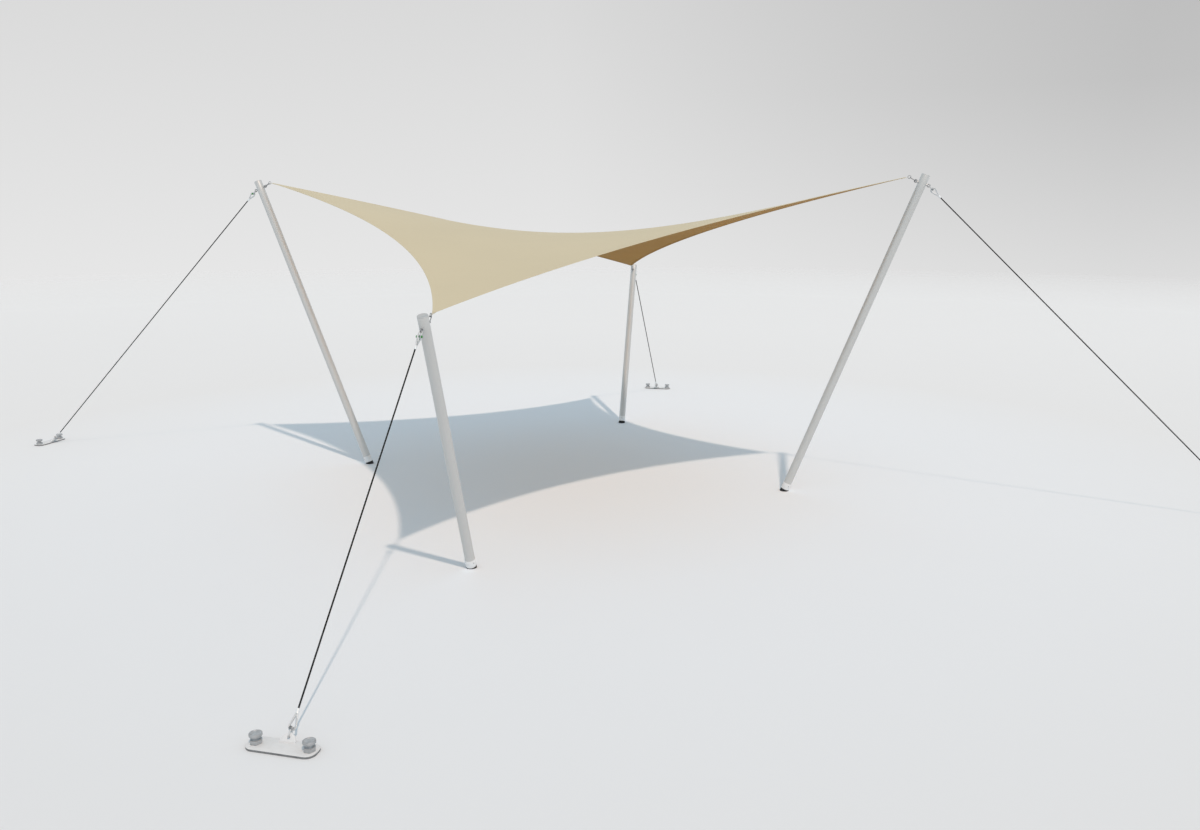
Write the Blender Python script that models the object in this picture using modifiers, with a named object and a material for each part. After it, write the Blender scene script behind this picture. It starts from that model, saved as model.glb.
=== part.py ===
# Four point tensioned canopy: a saddle shaped sail between two high and two low masts that lean
# outward, each held by a guy cable to an anchor plate with two ground stakes.
# Metres, +Z up. The origin is on the ground at the middle of the plan.
# X runs through the two high masts and Y through the two low ones.
import bpy
import bmesh
import numpy as np
from math import sin, cos, pi, acos, atan2, radians, hypot
from mathutils import Matrix, Vector

# Driving dimensions
GAP = 0.0003                # running gap between touching pieces

MAST_D = 0.1016             # mast tube, outside diameter
HIGH_BASE_R, HIGH_TOP_R, HIGH_TOP_Z = 2.967, 4.468, 4.000
LOW_BASE_R, LOW_TOP_R, LOW_TOP_Z = 3.582, 4.545, 2.670
HIGH_ANCHOR_R, LOW_ANCHOR_R = 8.450, 6.985      # eye of the anchor plate, from the middle
ANCHOR_EYE_Z = 0.036

BOLT_DROP = 0.106           # eye bolt below the mast head, along the mast
EYE_OUT = 0.080             # centre of each eye from the mast's axis
EYE_R, EYE_WIRE = 0.016, 0.010
BOLT_D = 0.014

FOOT_D, FOOT_SKIRT = 0.110, 0.087               # collar of the foot, diameter and height
FOOT_EDGE = 0.006                               # height of the collar's lowest edge
FOOT_FLOOR = 0.020

SHACKLE_WIRE, SHACKLE_LEN, SHACKLE_HALF = 0.010, 0.060, 0.015
PIN_D, EAR_D, PIN_LEN = 0.013, 0.024, 0.060
PIN_HEAD = 0.46             # radius of the pin's head and nut, as a share of the ear's diameter
LINK_RISE_HIGH, LINK_RISE_LOW = radians(31.5), radians(42.0)     # sail shackle's line, going inward
LINK_WIRE, LINK_LEN, LINK_HALF = 0.008, 0.072, 0.013
LINK_PIN_D, LINK_EAR_D, LINK_PIN_LEN = 0.010, 0.019, 0.044
RING_R, RING_WIRE = 0.0175, 0.0065

CABLE_D = 0.014
LOOP_R, LOOP_WIRE, LOOP_APEX = 0.029, 0.016, 0.085
FERRULE_D, FERRULE_LEN = 0.026, 0.038

PLATE_T, PLATE_W, PLATE_L, PLATE_CORNER = 0.016, 0.170, 0.524, 0.068
STAKE_PITCH = 0.404
STAKE_SET_BACK = 0.077      # stake line and plate's middle beyond the anchor eye
LUG_T, LUG_R, LUG_HOLE_D = 0.012, 0.060, 0.024  # half disc centred on the plate's top
SHAFT_D, COLLAR_AF, COLLAR_H, COLLAR_EDGE = 0.030, 0.076, 0.028, 0.004
NECK_D, NECK_H, HEAD_D, HEAD_H = 0.044, 0.020, 0.091, 0.026
HEAD_UNDERCUT, DISH_D, DISH_H = 0.009, 0.068, 0.003

SAIL_T = 0.006              # thickness of the sail's solid
EDGE_SAG = 0.609            # inward sag of each free edge at its middle
EDGE_SKEW = 0.032
SAIL_N = 20                 # cells along each edge
TIP_OUT = 0.040             # sail tip from the ring's centre
TIP_SLOPE_HIGH, TIP_SLOPE_LOW = radians(12.4), radians(-11.8)
TAB_T, TAB_W, TAB_UNDER = 0.004, 0.030, 0.055
TAB_HOLE_D, TAB_NOSE = 0.0105, 0.010

CORNERS = (("right", 0.0, "high"), ("back", 90.0, "low"),
           ("left", 180.0, "high"), ("front", 270.0, "low"))

for old in list(bpy.data.objects):
    bpy.data.objects.remove(old, do_unlink=True)

scene = bpy.context.scene
parts = bpy.data.collections.new("four_point_canopy")
guides = bpy.data.collections.new("cutters")
scene.collection.children.link(parts)
scene.collection.children.link(guides)


# Materials
def material(name, colour, rough, metal):
    m = bpy.data.materials.new(name)
    m.use_nodes = True
    b = m.node_tree.nodes["Principled BSDF"]
    b.inputs["Base Color"].default_value = (*colour, 1.0)
    b.inputs["Roughness"].default_value = rough
    b.inputs["Metallic"].default_value = metal
    m.diffuse_color = (*colour, 1.0)
    return m


MAT = {
    "sail": material("cream_membrane", (0.64, 0.56, 0.33), 0.80, 0.0),
    "mast": material("satin_aluminium", (0.52, 0.52, 0.50), 0.45, 0.6),
    "foot": material("white_foot", (0.82, 0.82, 0.82), 0.55, 0.0),
    "steel": material("stainless_steel", (0.62, 0.62, 0.62), 0.35, 0.9),
    "shackle": material("galvanised_steel", (0.55, 0.56, 0.56), 0.45, 0.8),
    "cable": material("dark_cable", (0.03, 0.03, 0.03), 0.60, 0.1),
    "plate": material("pale_plate", (0.78, 0.79, 0.80), 0.50, 0.2),
    "stake": material("grey_stake", (0.36, 0.38, 0.40), 0.50, 0.7),
    "tab": material("corner_webbing", (0.72, 0.70, 0.62), 0.75, 0.0),
}


# Shape helpers
def hold(mesh, name="shape"):
    ob = bpy.data.objects.new(name, mesh)
    guides.objects.link(ob)
    return ob


def bake(ob, name):
    """The evaluated shape of ob as a welded mesh; ob goes."""
    dg = bpy.context.evaluated_depsgraph_get()
    dg.update()
    me = bpy.data.meshes.new_from_object(ob.evaluated_get(dg))
    me.name = name
    bm = bmesh.new()
    bm.from_mesh(me)
    bmesh.ops.remove_doubles(bm, verts=bm.verts, dist=0.00002)
    bm.to_mesh(me)
    bm.free()
    bpy.data.objects.remove(ob, do_unlink=True)
    return me


def turned(profile, steps, name):
    """Solid of revolution about Z; the profile runs from the top down its outer side."""
    me = bpy.data.meshes.new(name)
    pts = [(r, 0.0, z) for r, z in profile]
    me.from_pydata(pts, [(i, i + 1) for i in range(len(pts) - 1)], [])
    ob = hold(me)
    sc = ob.modifiers.new("turn", 'SCREW')
    sc.steps = sc.render_steps = steps
    sc.use_merge_vertices = True
    sc.merge_threshold = 0.00005
    sc.use_smooth_shade = True
    return bake(ob, name)


def tube(points, radius, res, name, cyclic=False):
    cu = bpy.data.curves.new(name, 'CURVE')
    cu.dimensions = '3D'
    sp = cu.splines.new('POLY')
    sp.points.add(len(points) - 1)
    for p, q in zip(sp.points, points):
        p.co = (*q, 1.0)
    sp.use_cyclic_u = cyclic
    cu.bevel_depth = radius
    cu.bevel_resolution = res
    cu.use_fill_caps = not cyclic
    ob = bpy.data.objects.new(name, cu)
    guides.objects.link(ob)
    return bake(ob, name)


def outline(points, thick, name, holes=()):
    """Flat outline in the XY plane with holes, extruded evenly about z = 0."""
    cu = bpy.data.curves.new(name, 'CURVE')
    cu.dimensions = '2D'
    cu.fill_mode = 'BOTH'
    cu.extrude = thick / 2
    for ring in (points, *holes):
        sp = cu.splines.new('POLY')
        sp.points.add(len(ring) - 1)
        for p, q in zip(sp.points, ring):
            p.co = (q[0], q[1], 0.0, 1.0)
        sp.use_cyclic_u = True
    ob = bpy.data.objects.new(name, cu)
    guides.objects.link(ob)
    return bake(ob, name)


def moved(mesh, matrix):
    me = mesh.copy()
    me.transform(matrix)
    return me


def combine(base, others, operation, name):
    """Boolean of closed meshes, one after another."""
    for other in others:
        a, b = hold(base), hold(other)
        bo = a.modifiers.new("cut", 'BOOLEAN')
        bo.operation = operation
        bo.solver = 'EXACT'
        bo.object = b
        base = bake(a, name)
        bpy.data.objects.remove(b, do_unlink=True)
    return base


def circle(r, n, cx=0.0, cy=0.0, a0=0.0):
    return [(cx + r * cos(a0 + 2 * pi * i / n), cy + r * sin(a0 + 2 * pi * i / n)) for i in range(n)]


def put(mesh, name, mat, parent, at=(0, 0, 0), turn=(0, 0, 0)):
    ob = bpy.data.objects.new(name, mesh)
    if not mesh.materials:
        mesh.materials.append(MAT[mat])
    mesh.shade_smooth()
    mesh.set_sharp_from_angle(angle=radians(35))
    ob.location = at
    ob.rotation_euler = turn
    ob.parent = parent
    parts.objects.link(ob)
    return ob


ALONG_Y = Matrix.Rotation(-pi / 2, 4, 'X')      # turns +Z to +Y
ALONG_X = Matrix.Rotation(pi / 2, 4, 'Y')       # turns +Z to +X


# Pieces shared by all corners
def make_eyebolt():
    h = EYE_OUT - EYE_R
    w = MAST_D / 2 + GAP
    prof = [(0, h), (BOLT_D / 2, h), (BOLT_D / 2, w + 0.005), (0.015, w + 0.005), (0.015, w),
            (BOLT_D / 2, w), (BOLT_D / 2, -w), (0.015, -w), (0.015, -w - 0.005),
            (BOLT_D / 2, -w - 0.005), (BOLT_D / 2, -h), (0, -h)]
    shank = moved(turned(prof, 10, "eyebolt"), ALONG_X)
    eyes = []
    for side in (1, -1):
        c = [(side * EYE_OUT + x, 0.0, z) for x, z in circle(EYE_R, 14)]
        eyes.append(tube(c, EYE_WIRE / 2, 1, "eye", True))
    return combine(shank, eyes, 'UNION', "eyebolt")


def make_shackle(wire, length, half, pin_d, ear_d, pin_len, name):
    """Bow crown on the origin, pin along Y at z = length."""
    arc = [(0.0, -half * cos(a), half - half * sin(a)) for a in
           [pi * i / 8 for i in range(9)]]
    path = [(0.0, -half, length)] + arc + [(0.0, half, length)]
    bow = tube(path, wire / 2, 1, "bow")
    e0, e1 = half - wire / 2, half + wire / 2
    p = pin_len / 2
    prof = [(0, p), (ear_d * PIN_HEAD, p), (ear_d * PIN_HEAD, e1), (ear_d / 2, e1), (ear_d / 2, e0),
            (pin_d / 2, e0), (pin_d / 2, -e0), (ear_d / 2, -e0), (ear_d / 2, -e1),
            (ear_d * PIN_HEAD, -e1), (ear_d * PIN_HEAD, -p), (0, -p)]
    pin = moved(turned(prof, 10, "pin"), Matrix.Translation((0, 0, length)) @ ALONG_Y)
    return combine(pin, [bow], 'UNION', name)


def make_loop():
    """Teardrop eye in the XY plane: bow centre on the origin, apex at +Y."""
    def drop(radius, x, y, n):
        span = acos(radius / hypot(x, y))
        a = atan2(y, x) - span
        arc = [a - (2 * a + pi) * i / n for i in range(n + 1)]
        pts = [(radius * cos(t), radius * sin(t)) for t in arc]
        return pts + ([(-x, y), (x, y)] if x > 0.001 else [(x, y)])
    outer = drop(LOOP_R + LOOP_WIRE / 2, FERRULE_D * 0.44, LOOP_APEX, 13)
    inner = drop(LOOP_R - LOOP_WIRE / 2, 0.0, LOOP_APEX - 0.012, 10)
    flat = hold(outline(outer, LOOP_WIRE, "loop", [inner]))
    be = flat.modifiers.new("soften", 'BEVEL')
    be.width = LOOP_WIRE * 0.27
    be.segments = 1
    be.limit_method = 'ANGLE'
    be.angle_limit = radians(50)
    return bake(flat, "loop")


def make_cable(length):
    """Straight guy cable with an eye loop and a ferrule at each end.

    z = 0 is the upper pin and z = length the lower pin. The upper loop lies in the XZ
    plane and the lower one in the YZ plane.
    """
    seat = LOOP_R - LOOP_WIRE / 2 - PIN_D / 2 - GAP     # bow centre beyond the pin
    apex = seat + LOOP_APEX
    a, b = apex, apex + FERRULE_LEN
    rf, rc = FERRULE_D / 2, CABLE_D / 2
    c = 0.003
    prof = [(0, length - a), (rf - c, length - a), (rf, length - a - c), (rf, length - b + c),
            (rf - c, length - b), (rc, length - b), (rc, b), (rf - c, b), (rf, b - c), (rf, a + c),
            (rf - c, a), (0, a)]
    body = turned(prof, 10, "cable")
    loop = moved(make_loop(), Matrix.Rotation(pi / 2, 4, 'X'))
    top = moved(loop, Matrix.Translation((0, 0, seat)))
    low = moved(loop, Matrix.Translation((0, 0, length - seat)) @ Matrix.Rotation(pi / 2, 4, 'Z')
                @ Matrix.Rotation(pi, 4, 'X'))
    return combine(body, [top, low], 'UNION', "guy_cable")


def make_plate(slope):
    """Anchor plate on the ground. Origin under the lug's eye, X pointing away from the mast."""
    half, xs, r = STAKE_PITCH / 2, STAKE_SET_BACK, PLATE_CORNER
    pts = []
    for k, (sx, sy) in enumerate(((1, 1), (-1, 1), (-1, -1), (1, -1))):
        cx, cy = xs + sx * (PLATE_W / 2 - r), sy * (PLATE_L / 2 - r)
        pts += [(cx + r * cos(a), cy + r * sin(a)) for a in [pi / 2 * (k + i / 6) for i in range(7)]]
    holes = [circle(SHAFT_D / 2 + 2 * GAP, 12, xs, s * half) for s in (1, -1)]
    flat = moved(outline(pts, PLATE_T, "plate", holes), Matrix.Translation((0, 0, PLATE_T / 2)))
    # lug in line with the cable: local +x runs up the lug toward the mast
    foot, root = [(ANCHOR_EYE_Z - z) / sin(slope) for z in (PLATE_T, PLATE_T * 0.45)]
    arc = [-pi / 2 + pi * i / 14 for i in range(15)]
    top = [(LUG_R * cos(t) - foot, LUG_R * sin(t)) for t in arc]
    ring = [(-root, -LUG_R)] + top + [(-root, LUG_R)]
    lug = outline(ring, LUG_T, "lug", [circle(LUG_HOLE_D / 2, 14)])
    # x -> toward the mast and up, y -> y
    m = Matrix.Translation((0, 0, ANCHOR_EYE_Z)) @ Matrix((
        (-cos(slope), 0, sin(slope), 0), (0, -1, 0, 0), (sin(slope), 0, cos(slope), 0), (0, 0, 0, 1)))
    lug = moved(lug, m)
    return combine(flat, [lug], 'UNION', "anchor_plate")


def make_collar(low, high):
    """Hexagonal collar between two heights, its corners broken at top and bottom."""
    c, r = COLLAR_EDGE, COLLAR_AF / 2 / cos(pi / 6)
    bm = bmesh.new()
    rings = [[bm.verts.new((x, y, z)) for x, y in circle(q, 6)]
             for q, z in ((r - c, low), (r, low + c), (r, high - c), (r - c, high))]
    for a, b in zip(rings, rings[1:]):
        for i in range(6):
            bm.faces.new((a[i], a[(i + 1) % 6], b[(i + 1) % 6], b[i]))
    bm.faces.new(rings[0][::-1])
    bm.faces.new(rings[-1])
    me = bpy.data.meshes.new("collar")
    bm.to_mesh(me)
    bm.free()
    return me


def make_stake():
    """Dished head, neck and hexagonal collar above the plate, shaft through it to the ground."""
    z0 = PLATE_T + GAP
    z1, z2, z3 = z0 + COLLAR_H, z0 + COLLAR_H + NECK_H, z0 + COLLAR_H + NECK_H + HEAD_H
    r, c, u, d = HEAD_D / 2, 0.004, HEAD_UNDERCUT, DISH_D / 2
    prof = [(0, z3 - DISH_H), (d, z3 - DISH_H), (d + DISH_H, z3), (r - c, z3), (r, z3 - c), (r, z2 + u),
            (r - u, z2), (NECK_D / 2, z2), (NECK_D / 2, z1 - 0.004), (SHAFT_D / 2, z1 - 0.004),
            (SHAFT_D / 2, GAP), (0, GAP)]
    return combine(make_collar(z0, z1), [turned(prof, 18, "stake")], 'UNION', "stake")


def make_foot(lean):
    """Cup on the mast's lower end, cut level with the ground. Z is the mast's axis."""
    s0 = (FOOT_EDGE + FOOT_D / 2 * sin(lean)) / cos(lean)
    r, ri = FOOT_D / 2, MAST_D / 2 + GAP
    top, floor = s0 + FOOT_SKIRT, s0 + FOOT_FLOOR
    prof = [(0, floor), (ri, floor), (ri, top), (r - 0.0015, top), (r, top - 0.0015),
            (r, -0.08), (0, -0.08)]
    cup = turned(prof, 24, "foot")
    cup.transform(Matrix.Rotation(lean, 4, 'Y'))
    bm = bmesh.new()
    bmesh.ops.create_cube(bm, size=0.4)
    box = bpy.data.meshes.new("ground_cut")
    bm.to_mesh(box)
    bm.free()
    box.transform(Matrix.Translation((0, 0, -0.2)))
    return combine(cup, [box], 'DIFFERENCE', "foot"), floor


def make_mast(s_low, s_top):
    """Mast between two stations on its axis, with the eye bolt's cross hole near the head."""
    r, c = MAST_D / 2, 0.0015
    prof = [(0, s_top), (r - c, s_top), (r, s_top - c), (r, s_low + c), (r - c, s_low), (0, s_low)]
    rod = turned(prof, 24, "mast")
    drill = turned([(0, 0.1), (BOLT_D / 2 + GAP, 0.1), (BOLT_D / 2 + GAP, -0.1), (0, -0.1)], 12, "drill")
    drill = moved(drill, Matrix.Translation((0, 0, s_top - BOLT_DROP)) @ ALONG_X)
    return combine(rod, [drill], 'DIFFERENCE', "mast")


def make_ring():
    return tube([(x, 0.0, z) for x, z in circle(RING_R, 16)], RING_WIRE / 2, 1, "ring", True)


def make_tab():
    """Corner tab; origin at the ring's centre, +X toward the sail."""
    hx = RING_R
    nose = [(hx + TAB_NOSE * cos(a), TAB_NOSE * sin(a)) for a in
            [pi * 0.62 + pi * 0.76 * i / 8 for i in range(9)]]
    end = TIP_OUT + TAB_UNDER
    pts = nose + [(end, -TAB_W / 2), (end, TAB_W / 2)]
    return outline(pts, TAB_T, "tab", [circle(TAB_HOLE_D / 2, 12, hx + 0.0014, 0.0)])


# Layout of a corner
def layout(kind):
    if kind == "high":
        rb, rt, zt, ra, slope = HIGH_BASE_R, HIGH_TOP_R, HIGH_TOP_Z, HIGH_ANCHOR_R, TIP_SLOPE_HIGH
        rise = LINK_RISE_HIGH
    else:
        rb, rt, zt, ra, slope = LOW_BASE_R, LOW_TOP_R, LOW_TOP_Z, LOW_ANCHOR_R, TIP_SLOPE_LOW
        rise = LINK_RISE_LOW
    lean = atan2(rt - rb, zt)
    length = hypot(rt - rb, zt)
    axis = Vector((sin(lean), 0, cos(lean)))
    out = Vector((cos(lean), 0, -sin(lean)))
    bolt = Vector((rt, 0, zt)) - axis * BOLT_DROP
    guy_eye, sail_eye = bolt + out * EYE_OUT, bolt - out * EYE_OUT
    eye = Vector((ra, 0, ANCHOR_EYE_Z))
    d = (eye - guy_eye).normalized()
    inner = EYE_R - EYE_WIRE / 2
    crown = guy_eye + d * (inner - SHACKLE_WIRE / 2 - GAP)
    pin = crown + d * SHACKLE_LEN
    grip = SHACKLE_HALF - SHACKLE_WIRE / 2 - GAP        # the lug's edge inside the round bow
    bite = SHACKLE_HALF - (grip ** 2 - (LUG_T / 2) ** 2) ** 0.5
    low_crown = eye - d * (LUG_HOLE_D / 2 - bite)
    low_pin = low_crown - d * SHACKLE_LEN
    pull = Vector((-cos(rise), 0, sin(rise)))
    link_pin = sail_eye + pull * (inner - LINK_PIN_D / 2 - GAP)
    link_crown = link_pin + pull * LINK_LEN
    ring = link_crown + pull * (RING_R - RING_WIRE / 2 - LINK_WIRE / 2 - GAP)
    inward = Vector((-cos(slope), 0, -sin(slope)))
    up = Vector((-sin(slope), 0, cos(slope)))
    tip = ring + inward * TIP_OUT + up * (SAIL_T / 2 + TAB_T / 2 + 0.0006)
    return dict(rb=rb, lean=lean, length=length, bolt=bolt, out=out, d=d, eye=eye, crown=crown, pin=pin,
                low_crown=low_crown, low_pin=low_pin, link_crown=link_crown, ring=ring, tip=tip,
                slope=slope, pull=pull, up=up, guy=atan2(-d.z, d.x))


def y_turn(v):
    """Turn about Y that takes +Z to the direction v in the XZ plane."""
    return (0.0, atan2(v.x, v.z), 0.0)


# Sail surface
def edge_curve(high, low, t):
    """Free edge from a high tip on +X to a low tip on +Y; t runs from 0 to 1."""
    p0, p1 = np.array([high.x, 0.0, high.z]), np.array([0.0, low.x, low.z])
    inward = np.array([-1.0, -1.0, 0.0]) / 2 ** 0.5
    ctrl = (p0 + p1) / 2 + inward * 2 * EDGE_SAG + (p1 - p0) * EDGE_SKEW
    t = t[:, None]
    return (1 - t) ** 2 * p0 + 2 * t * (1 - t) * ctrl + t ** 2 * p1


def sail_grid(high, low, n):
    """Net in balance between the four edges: every inner knot is the mean of its neighbours."""
    t = np.linspace(0, 1, n + 1)
    base = edge_curve(high, low, t)

    def side(sx, sy):
        return base * np.array([sx, sy, 1.0])
    g = np.zeros((n + 1, n + 1, 3))
    g[:, 0], g[:, n] = side(-1, -1), side(1, 1)[::-1]
    g[0, :], g[n, :] = side(-1, 1), side(1, -1)[::-1]
    m = n - 1
    a = np.zeros((m * m, m * m))
    b = np.zeros((m * m, 3))
    for i in range(1, n):
        for j in range(1, n):
            k = (i - 1) * m + j - 1
            a[k, k] = 4.0
            for u, v in ((i - 1, j), (i + 1, j), (i, j - 1), (i, j + 1)):
                if 0 < u < n and 0 < v < n:
                    a[k, (u - 1) * m + v - 1] -= 1.0
                else:
                    b[k] += g[u, v]
    g[1:n, 1:n] = np.linalg.solve(a, b).reshape(m, m, 3)
    return g


def make_sail(high, low):
    n = SAIL_N
    g = sail_grid(high, low, n)
    bm = bmesh.new()
    v = [[bm.verts.new(g[i, j]) for j in range(n + 1)] for i in range(n + 1)]
    for i in range(n):
        for j in range(n):
            bm.faces.new((v[i][j], v[i + 1][j], v[i + 1][j + 1], v[i][j + 1]))
    bmesh.ops.recalc_face_normals(bm, faces=bm.faces)
    if sum(f.normal.z for f in bm.faces) < 0:
        bmesh.ops.reverse_faces(bm, faces=bm.faces)
    me = bpy.data.meshes.new("sail")
    bm.to_mesh(me)
    bm.free()
    return me


# Build
spec = {k: layout(k) for k in ("high", "low")}
eyebolt = make_eyebolt()
shackle = make_shackle(SHACKLE_WIRE, SHACKLE_LEN, SHACKLE_HALF, PIN_D, EAR_D, PIN_LEN, "shackle")
link = make_shackle(LINK_WIRE, LINK_LEN, LINK_HALF, LINK_PIN_D, LINK_EAR_D, LINK_PIN_LEN, "link")
ring = make_ring()
tab = make_tab()
stake = make_stake()
anchor_shackle = moved(shackle, Matrix.Rotation(pi / 2, 4, 'Z'))
guy_shackle = shackle
made = {}
for kind, s in spec.items():
    foot, floor = make_foot(s["lean"])
    made[kind] = dict(foot=foot, mast=make_mast(floor + GAP, s["length"]),
                      cable=make_cable((s["low_pin"] - s["pin"]).length),
                      plate=make_plate(s["guy"]))

for name, angle, kind in CORNERS:
    s, m = spec[kind], made[kind]
    stand = bpy.data.objects.new("corner_" + name, None)
    stand.rotation_euler = (0, 0, radians(angle))
    guides.objects.link(stand)
    put(m["mast"], "mast_" + name, "mast", stand, (s["rb"], 0, 0), (0, s["lean"], 0))
    put(m["foot"], "foot_" + name, "foot", stand, (s["rb"], 0, 0))
    put(eyebolt, "eyebolt_" + name, "steel", stand, s["bolt"], (0, s["lean"], 0))
    put(link, "sail_shackle_" + name, "steel", stand, s["link_crown"], y_turn(-s["pull"]))
    put(ring, "sail_ring_" + name, "steel", stand, s["ring"])
    put(tab, "corner_tab_" + name, "tab", stand, s["ring"], (0, pi - s["slope"], 0))
    put(guy_shackle, "guy_shackle_" + name, "shackle", stand, s["crown"], y_turn(s["d"]))
    put(m["cable"], "guy_cable_" + name, "cable", stand, s["pin"], y_turn(s["d"]))
    put(anchor_shackle, "anchor_shackle_" + name, "shackle", stand, s["low_crown"], y_turn(-s["d"]))
    put(m["plate"], "anchor_plate_" + name, "plate", stand, (s["eye"].x, 0, 0))
    for tag, sy in (("a", -1), ("b", 1)):
        put(stake, "stake_%s_%s" % (name, tag), "stake", stand,
            (s["eye"].x + STAKE_SET_BACK, sy * STAKE_PITCH / 2, 0))

sail = put(make_sail(spec["high"]["tip"], spec["low"]["tip"]), "sail", "sail", None)
so = sail.modifiers.new("thickness", 'SOLIDIFY')
so.thickness = SAIL_T
so.offset = 0.0
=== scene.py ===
"""Looks of a four point tensioned canopy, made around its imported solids.

All lengths are metres in the frame of the solids: the origin is on the ground at the middle of
the plan, X runs through the two high masts and Y through the two low ones.
"""

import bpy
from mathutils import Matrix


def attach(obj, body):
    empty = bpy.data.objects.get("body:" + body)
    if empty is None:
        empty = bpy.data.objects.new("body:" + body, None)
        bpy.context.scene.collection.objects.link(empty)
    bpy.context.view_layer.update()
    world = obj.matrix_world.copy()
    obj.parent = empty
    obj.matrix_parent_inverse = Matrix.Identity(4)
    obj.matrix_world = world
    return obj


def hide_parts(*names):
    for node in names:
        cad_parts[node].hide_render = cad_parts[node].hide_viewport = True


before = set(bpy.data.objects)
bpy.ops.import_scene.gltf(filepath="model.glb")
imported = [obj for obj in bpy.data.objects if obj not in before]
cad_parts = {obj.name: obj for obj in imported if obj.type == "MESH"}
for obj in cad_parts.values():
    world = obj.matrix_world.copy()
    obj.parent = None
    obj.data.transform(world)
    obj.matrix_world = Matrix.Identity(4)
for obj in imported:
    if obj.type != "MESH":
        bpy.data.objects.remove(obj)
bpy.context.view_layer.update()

from math import acos, atan2, cos, hypot, pi, radians, sin, tan

import bmesh
import bpy
import numpy as np
from bpy.props import FloatProperty, FloatVectorProperty, IntProperty, PointerProperty
from bpy.types import Operator, Panel, PropertyGroup
from mathutils import Matrix, Vector
from mathutils.bvhtree import BVHTree

bl_info = {
    "name": "Four Point Canopy",
    "version": (1, 0, 0),
    "blender": (4, 5, 0),
    "location": "3D View > Sidebar > Canopy",
    "description": "Builds the sail, masts, rigging and ground anchors of a four point canopy",
    "category": "Add Mesh",
}

# Driving dimensions of the solids that the pieces are seated on.
GAP = 0.0003
MAST_D = 0.1016
# A mast's foot and head radius, head height, anchor radius, slope of the sail's tip, rise of its shackle
HIGH = (2.967, 4.468, 4.000, 8.450, radians(12.4), radians(31.5))
LOW = (3.582, 4.545, 2.670, 6.985, radians(-11.8), radians(42.0))
ANCHOR_EYE_Z, BOLT_DROP, EYE_OUT, EYE_R, EYE_WIRE, BOLT_D = 0.036, 0.106, 0.080, 0.016, 0.010, 0.014
FOOT_D, FOOT_SKIRT, FOOT_EDGE, FOOT_FLOOR = 0.110, 0.087, 0.006, 0.020
GUY_LINK = dict(wire=0.010, length=0.060, half=0.015, pin=0.013, ear=0.024, reach=0.060)
SAIL_LINK = dict(wire=0.008, length=0.072, half=0.013, pin=0.010, ear=0.019, reach=0.044)
RING_R, RING_WIRE = 0.0175, 0.0065
LOOP_R, LOOP_WIRE, LOOP_APEX, FERRULE_D, FERRULE_LEN = 0.029, 0.016, 0.085, 0.026, 0.038
PLATE_T, PLATE_W, PLATE_L, PLATE_CORNER = 0.016, 0.170, 0.524, 0.068
STAKE_PITCH, STAKE_SET_BACK = 0.404, 0.077
LUG_T, LUG_R, LUG_HOLE_D = 0.012, 0.060, 0.024
SHAFT_D, COLLAR_AF, COLLAR_H = 0.030, 0.076, 0.028
NECK_D, NECK_H, HEAD_D, HEAD_H = 0.044, 0.020, 0.091, 0.026
HEAD_UNDERCUT, DISH_D, DISH_H = 0.009, 0.068, 0.003
SAIL_T, TIP_OUT, TAB_T, TAB_W, TAB_UNDER = 0.006, 0.040, 0.004, 0.030, 0.055

# Seams: how far the edge lines stay from the tips, the thread's lift off the cloth, the patches' lift off
# the sail's middle, and the share of the hem's width from which it is stitched
EDGE_INSET, THREAD_LIFT, PATCH_LIFT, STITCHED_FROM = 0.004, 0.0001, 0.0019, 0.35
# The hem's section: distance in from the cloth's edge, and half its thickness there
HEM_ACROSS = (-0.0032, 0.0002, 0.0034, 0.0075, 0.013, 0.030, 0.0555, 0.0580)
HEM_THICK = (0.0, 0.0035, 0.0037, 0.0029, 0.0024, 0.0023, 0.0022, 0.0016)
HEM_FOLD, HEM_FULL = HEM_ACROSS[2], HEM_ACROSS[-1]
SETTLE_ROUNDS = 3600            # rounds in which the sail's net comes to rest
MERGE = 0.000004                # points of a shape closer than this are one

# The camera and the light that were fitted to the picture
FOCAL_PX, FRAME_PX, SENSOR = 947.1, 1200, 36.0
CAMERA_AT, CAMERA_TURN = (3.4468, -12.1829, 3.5098), (78.1545, 0.0, 13.6469)
KEY_WAY, KEY_TONE, FILL_TONE = (-0.4082, 0.5074, -1.0), (1.0, 0.80, 0.655), (0.78, 0.91, 1.0)
FLOOR_Z = -0.0006

# Each corner: its name, its angle round the middle, its mast, and whether its guy bolt is green
CORNERS = (("right", 0.0, HIGH, False), ("back", 90.0, LOW, True),
           ("left", 180.0, HIGH, True), ("front", 270.0, LOW, True))


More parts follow.
